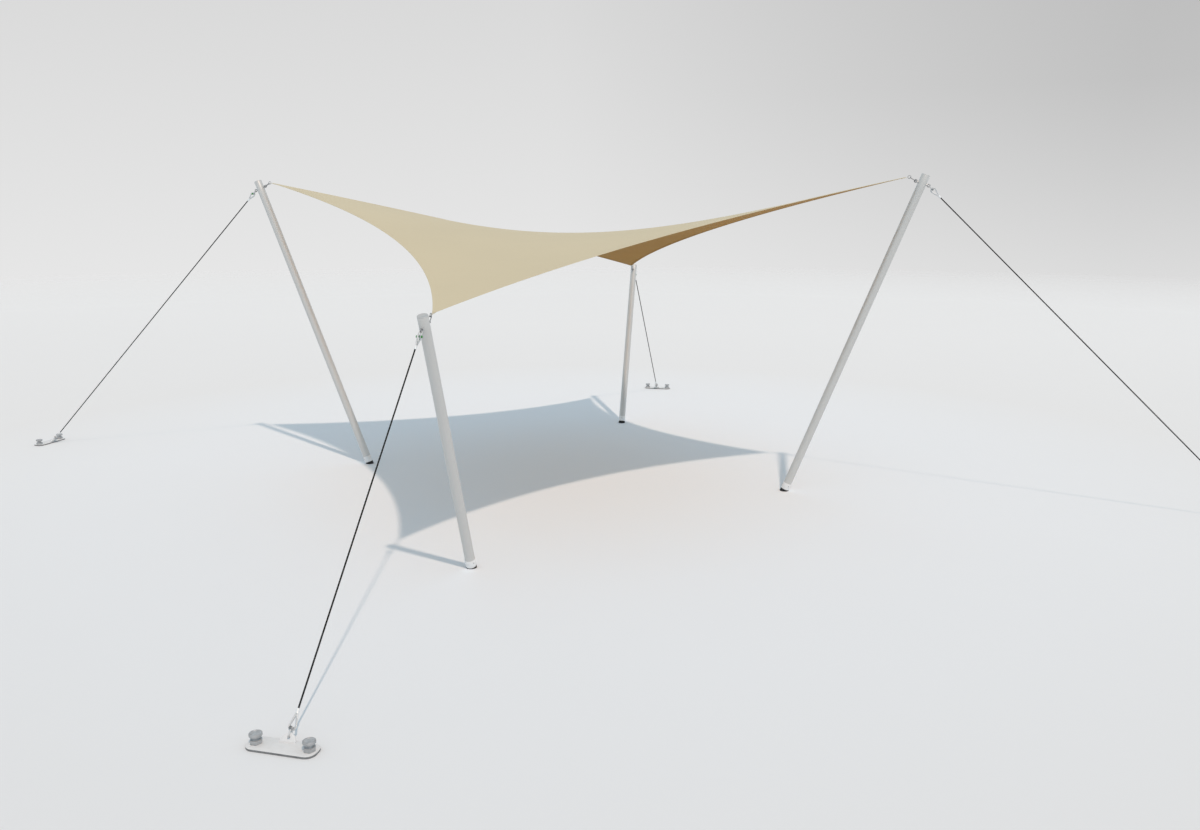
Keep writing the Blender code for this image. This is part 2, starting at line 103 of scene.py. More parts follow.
def layout(kind):
    """Places of one corner's fittings in its upright plane, X pointing outward."""
    rb, rt, zt, ra, slope, rise = kind
    lean, length = atan2(rt - rb, zt), hypot(rt - rb, zt)
    axis = Vector((sin(lean), 0, cos(lean)))
    out = Vector((cos(lean), 0, -sin(lean)))
    bolt = Vector((rt, 0, zt)) - axis * BOLT_DROP
    guy_eye, sail_eye = bolt + out * EYE_OUT, bolt - out * EYE_OUT
    eye = Vector((ra, 0, ANCHOR_EYE_Z))
    d = (eye - guy_eye).normalized()
    inner = EYE_R - EYE_WIRE / 2
    crown = guy_eye + d * (inner - GUY_LINK["wire"] / 2 - GAP)
    pin = crown + d * GUY_LINK["length"]
    grip = GUY_LINK["half"] - GUY_LINK["wire"] / 2 - GAP
    bite = GUY_LINK["half"] - (grip ** 2 - (LUG_T / 2) ** 2) ** 0.5
    low_crown = eye - d * (LUG_HOLE_D / 2 - bite)
    low_pin = low_crown - d * GUY_LINK["length"]
    pull = Vector((-cos(rise), 0, sin(rise)))
    link_crown = sail_eye + pull * (inner - SAIL_LINK["pin"] / 2 - GAP + SAIL_LINK["length"])
    ring = link_crown + pull * (RING_R - RING_WIRE / 2 - SAIL_LINK["wire"] / 2 - GAP)
    inward = Vector((-cos(slope), 0, -sin(slope)))
    up = Vector((-sin(slope), 0, cos(slope)))
    tip = ring + inward * TIP_OUT + up * (SAIL_T / 2 + TAB_T / 2 + 0.0006)
    return dict(rb=rb, lean=lean, length=length, bolt=bolt, out=out, d=d, eye=eye, crown=crown,
                pin=pin, low_crown=low_crown, low_pin=low_pin, link_crown=link_crown, ring=ring,
                tip=tip, slope=slope, pull=pull, guy=atan2(-d.z, d.x))


def seat(at, toward=None, turn=0.0):
    """Matrix that sets a shape down at a point, its Z along toward or turned about Y."""
    if toward is not None:
        turn = atan2(toward.x, toward.z)
    return Matrix.Translation(at) @ Matrix.Rotation(turn, 4, "Y")


def stand(angle):
    """Matrix that turns a corner's plane from the right one to its own."""
    return Matrix.Rotation(radians(angle), 4, "Z")


def corners():
    """Each corner's name, its turn round the middle, and its layout with its angle and bolt colour."""
    for name, angle, kind, green in CORNERS:
        yield name, stand(angle), dict(layout(kind), angle=angle, green=green)


# Objects

def show(name, data):
    """A new object in the scene."""
    ob = bpy.data.objects.new(name, data)
    bpy.context.scene.collection.objects.link(ob)
    return ob


def drop(ob):
    bpy.data.objects.remove(ob, do_unlink=True)


def applied(ob):
    """The object's mesh as its modifiers leave it."""
    return bpy.data.meshes.new_from_object(ob.evaluated_get(bpy.context.evaluated_depsgraph_get()))


# Shapes

class Shape:
    """Faces of a piece under construction; each face keeps its finish number and its wrap."""

    def __init__(self):
        self.verts, self.faces, self.marks, self.wraps = [], [], [], []

    def add(self, verts, faces, mark=0, wraps=None):
        base = len(self.verts)
        self.verts += [Vector(v) for v in verts]
        self.faces += [[base + i for i in f] for f in faces]
        self.marks += [mark] * len(faces)
        self.wraps += wraps or [[(0.0, 0.0)] * len(f) for f in faces]
        return self

    def join(self, other, matrix=None):
        base = len(self.verts)
        self.verts += [matrix @ v if matrix else v.copy() for v in other.verts]
        self.faces += [[base + i for i in f] for f in other.faces]
        self.marks += other.marks
        self.wraps += other.wraps
        return self

    def mesh(self, name, matrix=None, sharp=38.0):
        me = bpy.data.meshes.new(name)
        me.from_pydata([matrix @ v if matrix else v for v in self.verts], [], self.faces)
        me.polygons.foreach_set("material_index", self.marks)
        layer = me.uv_layers.new(name="wrap")
        layer.data.foreach_set("uv", [c for w in self.wraps for uv in w for c in uv])
        bm = bmesh.new()
        bm.from_mesh(me)
        bmesh.ops.remove_doubles(bm, verts=bm.verts, dist=MERGE)
        bmesh.ops.recalc_face_normals(bm, faces=bm.faces)
        bm.to_mesh(me)
        bm.free()
        me.shade_smooth()
        me.set_sharp_from_angle(angle=radians(sharp))
        return me


def circle(r, n, cx=0.0, cy=0.0):
    return [(cx + r * cos(2 * pi * i / n), cy + r * sin(2 * pi * i / n)) for i in range(n)]


def lathe(profile, steps, mark=0, loop=False, marks=None, squeeze=None):
    """Turned shape about Z; marks may give each profile span its finish, squeeze flattens Y by height."""
    shape = Shape()
    rows, run, at = [], [0.0], 0
    for a, b in zip(profile, profile[1:]):
        run.append(run[-1] + hypot(b[0] - a[0], b[1] - a[1]))
    verts = []
    for r, z in profile:
        k = squeeze(z) if squeeze else 1.0
        if r < 1e-7 and not loop:
            rows.append([at])
            verts.append((0, 0, z))
            at += 1
        else:
            rows.append(list(range(at, at + steps)))
            verts += [(r * cos(2 * pi * i / steps), k * r * sin(2 * pi * i / steps), z) for i in range(steps)]
            at += steps
    far = max(r for r, z in profile)
    spans = [(i, i + 1) for i in range(len(profile) - 1)] + ([(len(profile) - 1, 0)] if loop else [])
    by_mark = {}
    for k, (i, j) in enumerate(spans):
        a, b = rows[i], rows[j]
        faces, wraps = by_mark.setdefault(marks[k] if marks else mark, ([], []))
        for s in range(steps):
            t = (s + 1) % steps
            u0, u1 = 2 * pi * far * s / steps, 2 * pi * far * (s + 1) / steps
            v0, v1 = run[i], run[j] if j else run[-1] + 0.01
            ring = [(a[s % len(a)], (u0, v0)), (a[t % len(a)], (u1, v0)), (b[t % len(b)], (u1, v1)),
                    (b[s % len(b)], (u0, v1))]
            if len(a) == 1:
                ring.pop(1)
            elif len(b) == 1:
                ring.pop(2)
            faces.append([x[0] for x in ring])
            wraps.append([x[1] for x in ring])
    shape.verts = [Vector(v) for v in verts]
    for key, (faces, wraps) in by_mark.items():
        shape.faces += faces
        shape.marks += [key] * len(faces)
        shape.wraps += wraps
    return shape


def sweep(path, section, closed=False, lift=(0, 1, 0)):
    """Carries a closed section along a path; section x lies across the path, section y along lift."""
    path = [Vector(p) for p in path]
    lift, n, m = Vector(lift).normalized(), len(path), len(section)
    verts, run = [], [0.0]
    for i in range(1, n + 1):
        run.append(run[-1] + (path[i % n] - path[i - 1]).length)
    for i, p in enumerate(path):
        before = path[i - 1] if i or closed else p
        after = path[(i + 1) % n] if i < n - 1 or closed else p
        way = (after - before).normalized()
        side = way.cross(lift).normalized()
        up = side.cross(way)
        verts += [p + side * x + up * y for x, y in section]
    around = [0.0]
    for i in range(m):
        around.append(around[-1] + hypot(section[(i + 1) % m][0] - section[i][0],
                                         section[(i + 1) % m][1] - section[i][1]))
    faces, wraps = [], []
    for i in range(n if closed else n - 1):
        for j in range(m):
            here, there, k = i * m, (i + 1) % n * m, (j + 1) % m
            faces.append([here + j, here + k, there + k, there + j])
            wraps.append([(around[j], run[i]), (around[j + 1], run[i]), (around[j + 1], run[i + 1]),
                          (around[j], run[i + 1])])
    if not closed:
        for start in (0, (n - 1) * m):
            faces.append(list(range(start, start + m)))
            wraps.append([tuple(p) for p in section])
    return Shape().add(verts, faces, 0, wraps)


def hex_nut(flats, height, hole, steps=36, mark=0):
    """Nut about Z from z = 0, with its corners chamfered by a 30 degree cone at both ends."""
    rim, verts, faces = flats / 2 * 0.985, [], []
    for i in range(steps):
        a = 2 * pi * i / steps
        r = flats / 2 / cos((a + pi / 6) % (pi / 3) - pi / 6)
        drop = max(0.0, r - rim) * 0.577
        c = hole * 0.08
        for rr, z in ((hole / 2 + c, 0), (rim, 0), (r, drop), (r, height - drop), (rim, height),
                      (hole / 2 + c, height), (hole / 2, height - c), (hole / 2, c)):
            verts.append((rr * cos(a), rr * sin(a), z))
    for i in range(steps):
        for j in range(8):
            k, l = (i + 1) % steps, (j + 1) % 8
            faces.append([i * 8 + j, k * 8 + j, k * 8 + l, i * 8 + l])
    return Shape().add(verts, faces, mark)


def cut_plate(outer, holes, thick, round_off, side_mark=0):
    """Plate in the XY plane about z = 0, with holes and rounded edges."""
    cu = bpy.data.curves.new("plate_outline", "CURVE")
    cu.dimensions, cu.fill_mode = "2D", "BOTH"
    cu.extrude, cu.bevel_depth = thick / 2 - round_off, round_off
    cu.bevel_resolution, cu.offset = 1, -round_off
    for ring in (outer, *holes):
        sp = cu.splines.new("POLY")
        sp.points.add(len(ring) - 1)
        for p, q in zip(sp.points, ring):
            p.co = (q[0], q[1], 0.0, 1.0)
        sp.use_cyclic_u = True
    ob = show("plate_outline", cu)
    me = applied(ob)
    shape = Shape()
    for mark, test in ((0, lambda z: abs(z) > 0.9), (side_mark, lambda z: abs(z) <= 0.9)):
        faces = [list(p.vertices) for p in me.polygons if test(p.normal.z)]
        co = [v.co.copy() for v in me.vertices]
        shape.add(co, faces, mark, [[(co[i].x, co[i].y) for i in f] for f in faces])
    drop(ob)
    return shape


# Node trees

class Wire:
    """A socket of a node tree; arithmetic on it adds Math or Vector Math nodes."""

    def __init__(self, tree, socket):
        self.tree, self.socket = tree, socket
        self.vector = socket.type == "VECTOR"

    def join(self, operation, a, b):
        flat = [x for x in (a, b) if not (isinstance(x, tuple) or isinstance(x, Wire) and x.vector)]
        if len(flat) == 2:
            return self.tree.wire("ShaderNodeMath", {"operation": operation}, {0: a, 1: b})
        if operation == "MULTIPLY" and flat:
            long = b if a is flat[0] else a
            return self.tree.wire("ShaderNodeVectorMath", {"operation": "SCALE"}, {0: long, 3: flat[0]})
        return self.tree.wire("ShaderNodeVectorMath", {"operation": operation}, {0: a, 1: b})

    def __abs__(self):
        return self.join("ABSOLUTE", self, 0.0)

    def sine(self):
        return self.join("SINE", self, 0.0)


for sign, operation in (("add", "ADD"), ("sub", "SUBTRACT"), ("mul", "MULTIPLY"), ("truediv", "DIVIDE"),
                        ("lt", "LESS_THAN")):
    setattr(Wire, f"__{sign}__", lambda self, other, name=operation: self.join(name, self, other))
    setattr(Wire, f"__r{sign}__", lambda self, other, name=operation: self.join(name, other, self))


class Nodes:
    """A node tree under construction."""

    def __init__(self, tree):
        self.tree = tree

    def node(self, kind, settings=None, sockets=None):
        """A node of a kind: its settings come first, then values or wires on its sockets."""
        node = self.tree.nodes.new(kind)
        for key, value in (settings or {}).items():
            if key == "stops":
                ramp = node.color_ramp
                while len(ramp.elements) < len(value):
                    ramp.elements.new(1.0)
                for stop, (place, tone) in zip(ramp.elements, value):
                    stop.position, stop.color = place, (*tone, 1.0)
            else:
                setattr(node, key, value)
        for key, value in (sockets or {}).items():
            socket = node.inputs[key]
            if isinstance(value, Wire):
                self.tree.links.new(value.socket, socket)
            elif value is not None:
                socket.default_value = value
        return node

    def wire(self, kind, settings=None, sockets=None, out=0):
        return Wire(self, self.node(kind, settings, sockets).outputs[out])

    def geo(self, kind, settings=None, out=0, **sockets):
        """The output of a geometry node, with its sockets by name."""
        named = {key.replace("_", " "): value for key, value in sockets.items()}
        return self.wire("GeometryNode" + kind, settings, named, out)

    def part(self, vector, *axes):
        """The numbers of a vector along the given axes."""
        split = self.node("ShaderNodeSeparateXYZ", None, {0: vector})
        return [Wire(self, split.outputs[i]) for i in axes]


class Finish(Nodes):
    """A material; what is the same all over goes straight on the shader's sockets."""

    def __init__(self, name, tone, **plain):
        self.material = bpy.data.materials.new(name)
        self.material.use_nodes = True
        self.material.diffuse_color = (*tone, 1.0)
        super().__init__(self.material.node_tree)
        self.tree.nodes.clear()
        self.shader = self.node("ShaderNodeBsdfPrincipled", None,
                                {"Base Color": (*tone, 1.0),
                                 **{k.replace("_", " "): v for k, v in plain.items()}})
        self.node("ShaderNodeOutputMaterial", None, {"Surface": Wire(self, self.shader.outputs[0])})

    def place(self, wrap=None, stretch=(1.0, 1.0, 1.0), turn=0.0):
        """Object coordinates, or a wrap of the piece, stretched for a directed pattern."""
        if wrap:
            at = self.wire("ShaderNodeUVMap", {"uv_map": wrap})
        else:
            at = self.wire("ShaderNodeTexCoord", out="Object")
        return self.wire("ShaderNodeMapping", None,
                         {"Vector": at, "Scale": stretch, "Rotation": (0, 0, turn)})

    def noise(self, at, scale, detail=3.0, rough=0.5, bend=0.0):
        return self.wire("ShaderNodeTexNoise", None, {
            "Vector": at or self.place(), "Scale": scale, "Detail": detail, "Roughness": rough,
            "Distortion": bend})

    def band(self, value, low, high, a=0.0, b=1.0):
        return self.wire("ShaderNodeMapRange", None, {0: value, 1: low, 2: high, 3: a, 4: b})

    def blend(self, factor, a, b):
        a, b = (x if isinstance(x, Wire) else (*x, 1.0) for x in (a, b))
        return self.wire("ShaderNodeMix", {"data_type": "RGBA"}, {0: factor, 6: a, 7: b}, 2)

    def bump(self, height, depth, strength):
        return self.wire("ShaderNodeBump", None, {"Height": height, "Distance": depth, "Strength": strength})

    def give(self, **sockets):
        for key, value in sockets.items():
            self.tree.links.new(value.socket, self.shader.inputs[key.replace("_", " ")])
        return self.material


def rule(name, sockets):
    """An empty Geometry Nodes tree with named inputs; returns its nodes, inputs and output."""
    tree = bpy.data.node_groups.new(name, "GeometryNodeTree")
    tree.interface.new_socket("Geometry", in_out="OUTPUT", socket_type="NodeSocketGeometry")
    tree.interface.new_socket("Geometry", in_out="INPUT", socket_type="NodeSocketGeometry")
    for label, kind in sockets:
        tree.interface.new_socket(label, in_out="INPUT", socket_type="NodeSocket" + kind)
    nodes = Nodes(tree)
    entry = nodes.node("NodeGroupInput")
    return nodes, {s.name: Wire(nodes, s) for s in entry.outputs if s.name}, nodes.node("NodeGroupOutput")


def close_rule(nodes, shape, finish, result):
    """Ends a rule with its copies made real and in their finish."""
    shape = nodes.geo("SetMaterial", Geometry=nodes.geo("RealizeInstances", Geometry=shape), Material=finish)
    nodes.tree.links.new(shape.socket, result.inputs[0])
    return nodes.tree


def grow(name, tree, mesh, **values):
    """Runs a rule on a mesh and keeps the result as a plain mesh on an object of that name."""
    ob = show(name, mesh)
    mod = ob.modifiers.new("rule", "NODES")
    mod.node_group = tree
    for item in tree.interface.items_tree:
        key = item.name.replace(" ", "_").lower()
        if item.in_out == "INPUT" and key in values:
            mod[item.identifier] = values[key]
    me = applied(ob)
    ob.modifiers.clear()
    ob.data, me.name = me, name
    return ob


def path_mesh(lines):
    """Edges of several lines; a line is (points, lifts), lifts None for a line in space."""
    me = bpy.data.meshes.new("line")
    verts, edges, lifts = [], [], []
    for points, ups in lines:
        base = len(verts)
        verts += [tuple(p) for p in points]
        edges += [(base + i, base + i + 1) for i in range(len(points) - 1)]
        lifts += [tuple(u) for u in (ups or [(0, 0, 1)] * len(points))]
    me.from_pydata(verts, edges, [])
    me.attributes.new("lift", "FLOAT_VECTOR", "POINT").data.foreach_set("vector", np.ravel(lifts))
    return me


VECTORS = {"data_type": "FLOAT_VECTOR"}


def net_rule():
    """Sail: a net between four curved edges, each inner knot settled to the mean of its neighbours."""
    nodes, given, result = rule("balanced_net", (
        ("High Tip", "Vector"), ("Low Tip", "Vector"), ("Sag", "Float"), ("Skew", "Float"),
        ("Cells", "Int"), ("Rounds", "Int"), ("Finish", "Material")))
    geo, place, knots = nodes.geo, nodes.geo("InputPosition"), given["Cells"] + 1
    grid = geo("MeshGrid", Size_X=1.0, Size_Y=1.0, Vertices_X=knots, Vertices_Y=knots)
    grid = geo("StoreNamedAttribute", {**VECTORS, "domain": "POINT"}, Geometry=grid, Name="knot", Value=place)
    x, y = nodes.part(geo("InputNamedAttribute", VECTORS, Name="knot"), 0, 1)
    u, v = x + 0.5, y + 0.5
    high, low = given["High Tip"], given["Low Tip"]
    pull = nodes.wire("ShaderNodeVectorMath", {"operation": "NORMALIZE"}, {0: (-1.0, -1.0, 0.0)})
    mid = (high + low) * 0.5 + pull * (given["Sag"] * 2.0) + (low - high) * given["Skew"]

    def edge(t):
        s = 1.0 - t
        return high * (s * s) + mid * (2.0 * t * s) + low * (t * t)

    shape = (edge(u) * (-1.0, -1.0, 1.0)) * (1.0 - v) + edge(1.0 - u) * v \
        + (edge(v) * (-1.0, 1.0, 1.0)) * (1.0 - u) + (edge(1.0 - v) * (1.0, -1.0, 1.0)) * u
    tips = (high * (-1.0, 1.0, 1.0)) * ((1.0 - u) * (1.0 - v)) \
        + (low * (1.0, -1.0, 1.0)) * (u * (1.0 - v)) + low * ((1.0 - u) * v) + high * (u * v)
    net = geo("SetPosition", Geometry=grid, Position=shape - tips)
    inside = (abs(x) < 0.4999) * (abs(y) < 0.4999)
    calm = geo("BlurAttribute", VECTORS, Value=place, Iterations=given["Rounds"], Weight=inside)
    net = geo("SubdivisionSurface", Mesh=geo("SetPosition", Geometry=net, Position=calm), Level=1)
    net = geo("StoreNamedAttribute", {"data_type": "FLOAT2", "domain": "CORNER"}, Geometry=net,
              Name="wrap", Value=place)
    return close_rule(nodes, geo("SetShadeSmooth", Geometry=net), given["Finish"], result)


def even_line(nodes, given, step):
    """The given edges as curves of evenly spaced points."""
    line = nodes.wire("GeometryNodeMeshToCurve", None, {0: given["Geometry"]})
    return nodes.geo("ResampleCurve", {"mode": "LENGTH"}, Curve=line, Length=given[step])


def rope_rule():
    """Rope: a lobed section of strands twisted along each line."""
    nodes, given, result = rule("laid_rope", (
        ("Diameter", "Float"), ("Strands", "Float"), ("Depth", "Float"), ("Lay", "Float"),
        ("Step", "Float"), ("Around", "Int"), ("Finish", "Material")))
    geo, place = nodes.geo, nodes.geo("InputPosition")
    turn = geo("SplineParameter", out="Length") * (2 * pi) / given["Lay"]
    line = geo("SetCurveTilt", Curve=even_line(nodes, given, "Step"), Tilt=turn)
    ring = geo("CurvePrimitiveCircle", {"mode": "RADIUS"}, Resolution=given["Around"], Radius=1.0)
    x, y = nodes.part(place, 0, 1)
    angle = nodes.wire("ShaderNodeMath", {"operation": "ARCTAN2"}, {0: y, 1: x})
    lobe = abs((angle * given["Strands"] * 0.5).sine()) * given["Depth"] + (1.0 - given["Depth"])
    ring = geo("SetPosition", Geometry=ring, Position=place * (lobe * given["Diameter"] * 0.5))
    body = geo("CurveToMesh", Curve=line, Profile_Curve=ring, Fill_Caps=True)
    return close_rule(nodes, geo("SetShadeSmooth", Geometry=body), given["Finish"], result)


def copies(nodes, given, points, turn, scale):
    """The given object on each point."""
    one = nodes.geo("ObjectInfo", out="Geometry", Object=given["Copy"])
    return nodes.geo("InstanceOnPoints", Points=points, Instance=one, Rotation=turn, Scale=scale)


def stitch_rule():
    """Stitches, weld beads and the like: copies laid end to end along each line, their Z on lift."""
    nodes, given, result = rule("run_of_copies", (
        ("Copy", "Object"), ("Pitch", "Float"), ("Scale", "Float"), ("Uneven", "Float"), ("Seed", "Int"),
        ("Finish", "Material")))
    turn = nodes.wire("FunctionNodeAlignRotationToVector", {"axis": "X"},
                      {"Vector": nodes.geo("InputTangent")})
    turn = nodes.wire("FunctionNodeAlignRotationToVector", {"axis": "Z", "pivot_axis": "X"},
                      {"Rotation": turn, "Vector": nodes.geo("InputNamedAttribute", VECTORS, Name="lift")})
    vary = nodes.wire("FunctionNodeRandomValue", {"data_type": "FLOAT"}, {
        "Min": 1.0 - given["Uneven"], "Max": 1.0 + given["Uneven"], "Seed": given["Seed"]}, 1)
    laid = copies(nodes, given, even_line(nodes, given, "Pitch"), turn, vary * given["Scale"])
    return close_rule(nodes, laid, given["Finish"], result)


def seated_rule():
    """Nuts, washers and the like: one copy on each point, its Z along the point's lift."""
    nodes, given, result = rule("seated_copies", (
        ("Copy", "Object"), ("Scale", "Float"), ("Finish", "Material")))
    turn = nodes.wire("FunctionNodeAlignRotationToVector", {"axis": "Z"},
                      {"Vector": nodes.geo("InputNamedAttribute", VECTORS, Name="lift")})
    laid = copies(nodes, given, given["Geometry"], turn, given["Scale"] * (1.0, 1.0, 1.0))
    return close_rule(nodes, laid, given["Finish"], result)


# Finishes

def dim(tone, share):
    """The tone made darker or lighter."""
    return tuple(share * c for c in tone)


def cloth_finish(name, tone, deep, sheen):
    """Coated cloth: fine crossed threads, soft cloudy tone and a little ground-in dust."""
    f = Finish(name, tone, Roughness=0.82, Sheen_Weight=sheen, Sheen_Roughness=0.45, Specular_IOR_Level=0.25)
    warp = f.noise(f.place("wrap", (900, 70, 1), pi / 4), 1.0, 2.0)
    weft = f.noise(f.place("wrap", (70, 900, 1), pi / 4), 1.0, 2.0)
    cloud = f.noise(None, 0.55, 4.0, 0.55)
    dust = f.noise(None, 7.0, 5.0, 0.65)
    thread = warp + weft
    tint = f.blend(f.band(cloud, 0.35, 0.65), tone, deep)
    tint = f.blend(f.band(thread, 0.8, 1.25, 0.0, 0.10), tint, dim(tone, 0.72))
    tint = f.blend(f.band(dust, 0.58, 0.85, 0.0, 0.10), tint, (0.45, 0.43, 0.38))
    return f.give(Base_Color=tint, Roughness=f.band(thread, 0.7, 1.3, 0.74, 0.9),
                  Normal=f.bump(thread + dust * 0.3, 0.0006, 0.35))


def web_finish(name, tone):
    """Woven webbing: ribs across the strap with a softer rib along it."""
    f = Finish(name, tone, Roughness=0.78, Sheen_Weight=0.25, Specular_IOR_Level=0.3)
    at = f.place("wrap")
    x, y = f.part(at, 0, 1)
    rib = abs((x * 2400.0).sine()) * 0.6 + abs((y * 1500.0).sine()) * 0.4
    fuzz = f.noise(None, 900.0, 3.0)
    tint = f.blend(rib * 0.35, tone, dim(tone, 0.78))
    return f.give(Base_Color=f.blend(f.band(fuzz, 0.4, 0.8, 0.0, 0.2), tint, (0.9, 0.89, 0.85)),
                  Normal=f.bump(rib + fuzz * 0.4, 0.0004, 0.6))


def drawn_finish(name, tone, deep, rough, metallic):
    """Drawn and anodised tube: faint lines along its length, handling marks and soft cloudy tone."""
    f = Finish(name, tone, Metallic=metallic, Specular_IOR_Level=0.5)
    lines = f.noise(f.place("wrap", (420, 1.4, 1)), 1.0, 4.0, 0.6)
    cloud = f.noise(f.place(None, (3, 3, 1)), 1.0, 3.0)
    marks = f.noise(None, 38.0, 5.0, 0.7)
    scuff = f.band(marks, 0.62, 0.72)
    tint = f.blend(f.band(lines, 0.3, 0.7), tone, deep)
    tint = f.blend(f.band(cloud, 0.35, 0.65, 0.0, 0.35), tint, deep)
    return f.give(Base_Color=f.blend(scuff * 0.18, tint, dim(tone, 0.7)),
                  Roughness=f.band(lines, 0.25, 0.75, rough - 0.07, rough + 0.08) + scuff * 0.08,
                  Normal=f.bump(lines + marks * 0.25, 0.00025, 0.25))


def turned_finish(name, tone, rough):
    """Turned end cap: fine rings from the cutter and small dents."""
    f = Finish(name, tone, Metallic=0.35, Specular_IOR_Level=0.5)
    rings = f.noise(f.place("wrap", (2, 1500, 1)), 1.0, 2.0)
    dents = f.noise(None, 120.0, 4.0, 0.65)
    tint = f.blend(f.band(rings, 0.35, 0.65, 0.0, 0.4), tone, dim(tone, 0.82))
    return f.give(Base_Color=tint, Roughness=f.band(dents, 0.3, 0.7, rough - 0.06, rough + 0.1),
                  Normal=f.bump(rings + dents * 0.5, 0.0002, 0.3))


def bright_finish(name, tone, deep, rough, scale=160.0, metallic=0.9):
    """Polished or zinc coated steel: crystal patches, hairline scratches and dull spots."""
    f = Finish(name, tone, Metallic=metallic)
    patch = f.wire("ShaderNodeTexVoronoi", {"feature": "F1"}, {"Vector": f.place(), "Scale": scale}, "Color")
    dull = f.noise(None, scale * 0.35, 5.0, 0.65)
    hair = f.noise(f.place(None, (1, 1, 12)), scale * 3.0, 3.0, 0.6, 1.5)
    grey = f.wire("ShaderNodeSeparateColor", None, {0: patch})
    tint = f.blend(grey * 0.35 + f.band(dull, 0.45, 0.7, 0.0, 0.6), tone, deep)
    return f.give(Base_Color=tint,
                  Roughness=f.band(dull, 0.35, 0.7, rough - 0.08, rough + 0.16) + grey * 0.06,
                  Normal=f.bump(hair * 0.5 + dull, 0.00015, 0.35))


def paint_finish(name, tone, chip, rough, wear=0.66, coat=0.15):
    """Enamel: slight orange peel, chips down to the metal and patches of grime."""
    f = Finish(name, tone, Coat_Roughness=0.25, Specular_IOR_Level=0.45, Coat_Weight=coat)
    peel = f.noise(None, 420.0, 2.0)
    spots = f.noise(None, 64.0, 6.0, 0.72)
    grime = f.noise(f.place(None, (1, 1, 2.5)), 17.0, 5.0, 0.6)
    gone = f.band(spots, wear, wear + 0.03)
    tint = f.blend(f.band(grime, 0.42, 0.75, 0.0, 0.22), tone, dim(tone, 0.72))
    return f.give(Base_Color=f.blend(gone, tint, chip),
                  Roughness=f.band(grime, 0.4, 0.7, rough, rough + 0.18) + gone * 0.15,
                  Normal=f.bump(peel * 0.25 + spots * 0.4 - gone * 0.5, 0.00022, 0.4))


def dull_finish(name, tone, deep, rough, scale=90.0, depth=0.0004):
    """Rubber, sheath and mill-scaled steel: a mottled matt skin with rubbed lighter places."""
    f = Finish(name, tone, Specular_IOR_Level=0.35)
    pores = f.noise(None, scale * 5.0, 3.0)
    mottle = f.noise(None, scale, 5.0, 0.62)
    rubbed = f.noise(None, scale * 0.22, 4.0, 0.6)
    tint = f.blend(f.band(mottle, 0.35, 0.68), tone, deep)
    tint = f.blend(f.band(rubbed, 0.5, 0.8, 0.0, 0.3), tint, tuple(min(1.0, 1.35 * c + 0.01) for c in deep))
    return f.give(Base_Color=tint, Roughness=f.band(mottle, 0.3, 0.7, rough - 0.07, rough + 0.1),
                  Normal=f.bump(pores * 0.4 + mottle, depth, 0.45))


def steel_finish(name, tone, deep, rough, metallic, scale=45.0):
    """Worked steel: cloudy patina, hammer dimples and bright rubbed patches."""
    f = Finish(name, tone, Metallic=metallic)
    cloud = f.noise(None, scale * 0.5, 5.0, 0.6)
    pits = f.noise(None, scale * 4.0, 4.0, 0.7)
    dimple = f.wire("ShaderNodeTexVoronoi", {"feature": "SMOOTH_F1"},
                    {"Vector": f.place(), "Scale": scale * 2.0})
    tint = f.blend(f.band(cloud, 0.36, 0.66), tone, deep)
    tint = f.blend(f.band(pits, 0.58, 0.7, 0.0, 0.35), tint, dim(deep, 0.55))
    return f.give(Base_Color=tint, Roughness=f.band(cloud, 0.35, 0.7, rough - 0.1, rough + 0.12),
                  Normal=f.bump(dimple * 0.6 + pits * 0.5, 0.0005, 0.35))


def floor_finish(name, tone, far_tone, fade_from, fade_to):
    """Pale matt floor, lighter toward the back, with painted light near the middle, that fades into the
    backdrop.
    """
    f = Finish(name, tone, Roughness=0.9, Specular_IOR_Level=0.1)
    at = f.wire("ShaderNodeTexCoord", None, None, "Object")
    out = f.wire("ShaderNodeVectorMath", {"operation": "LENGTH"}, {0: at}, 1)
    depth, = f.part(at, 1)
    cloud = f.noise(None, 0.9, 4.0)
    lift = f.band(depth, -8.0, -1.0, 0.0, 0.55) + f.band(depth, -1.0, 18.0, 0.0, 0.45)
    tint = f.blend(lift, tone, far_tone)
    # Painted light: within 4 m of the middle the floor is lighter and bluer, fading out by 10 m, standing in
    # for the fill light that the sail blocks and cooling its warm bounce.
    painted_light_near_canopy = f.wire("ShaderNodeMix", {"data_type": "RGBA", "blend_type": "MULTIPLY"},
                  {0: f.band(out, 4.0, 10.0, 1.0, 0.0), 6: tint, 7: (1.045, 1.085, 1.13, 1.0)}, 2)
    tint = f.blend(f.band(cloud, 0.4, 0.7, 0.0, 0.015), painted_light_near_canopy, dim(tone, 0.9))
    return f.give(Base_Color=tint, Alpha=f.band(out, fade_from, fade_to, 1.0, 0.0))


FINISHES = {}


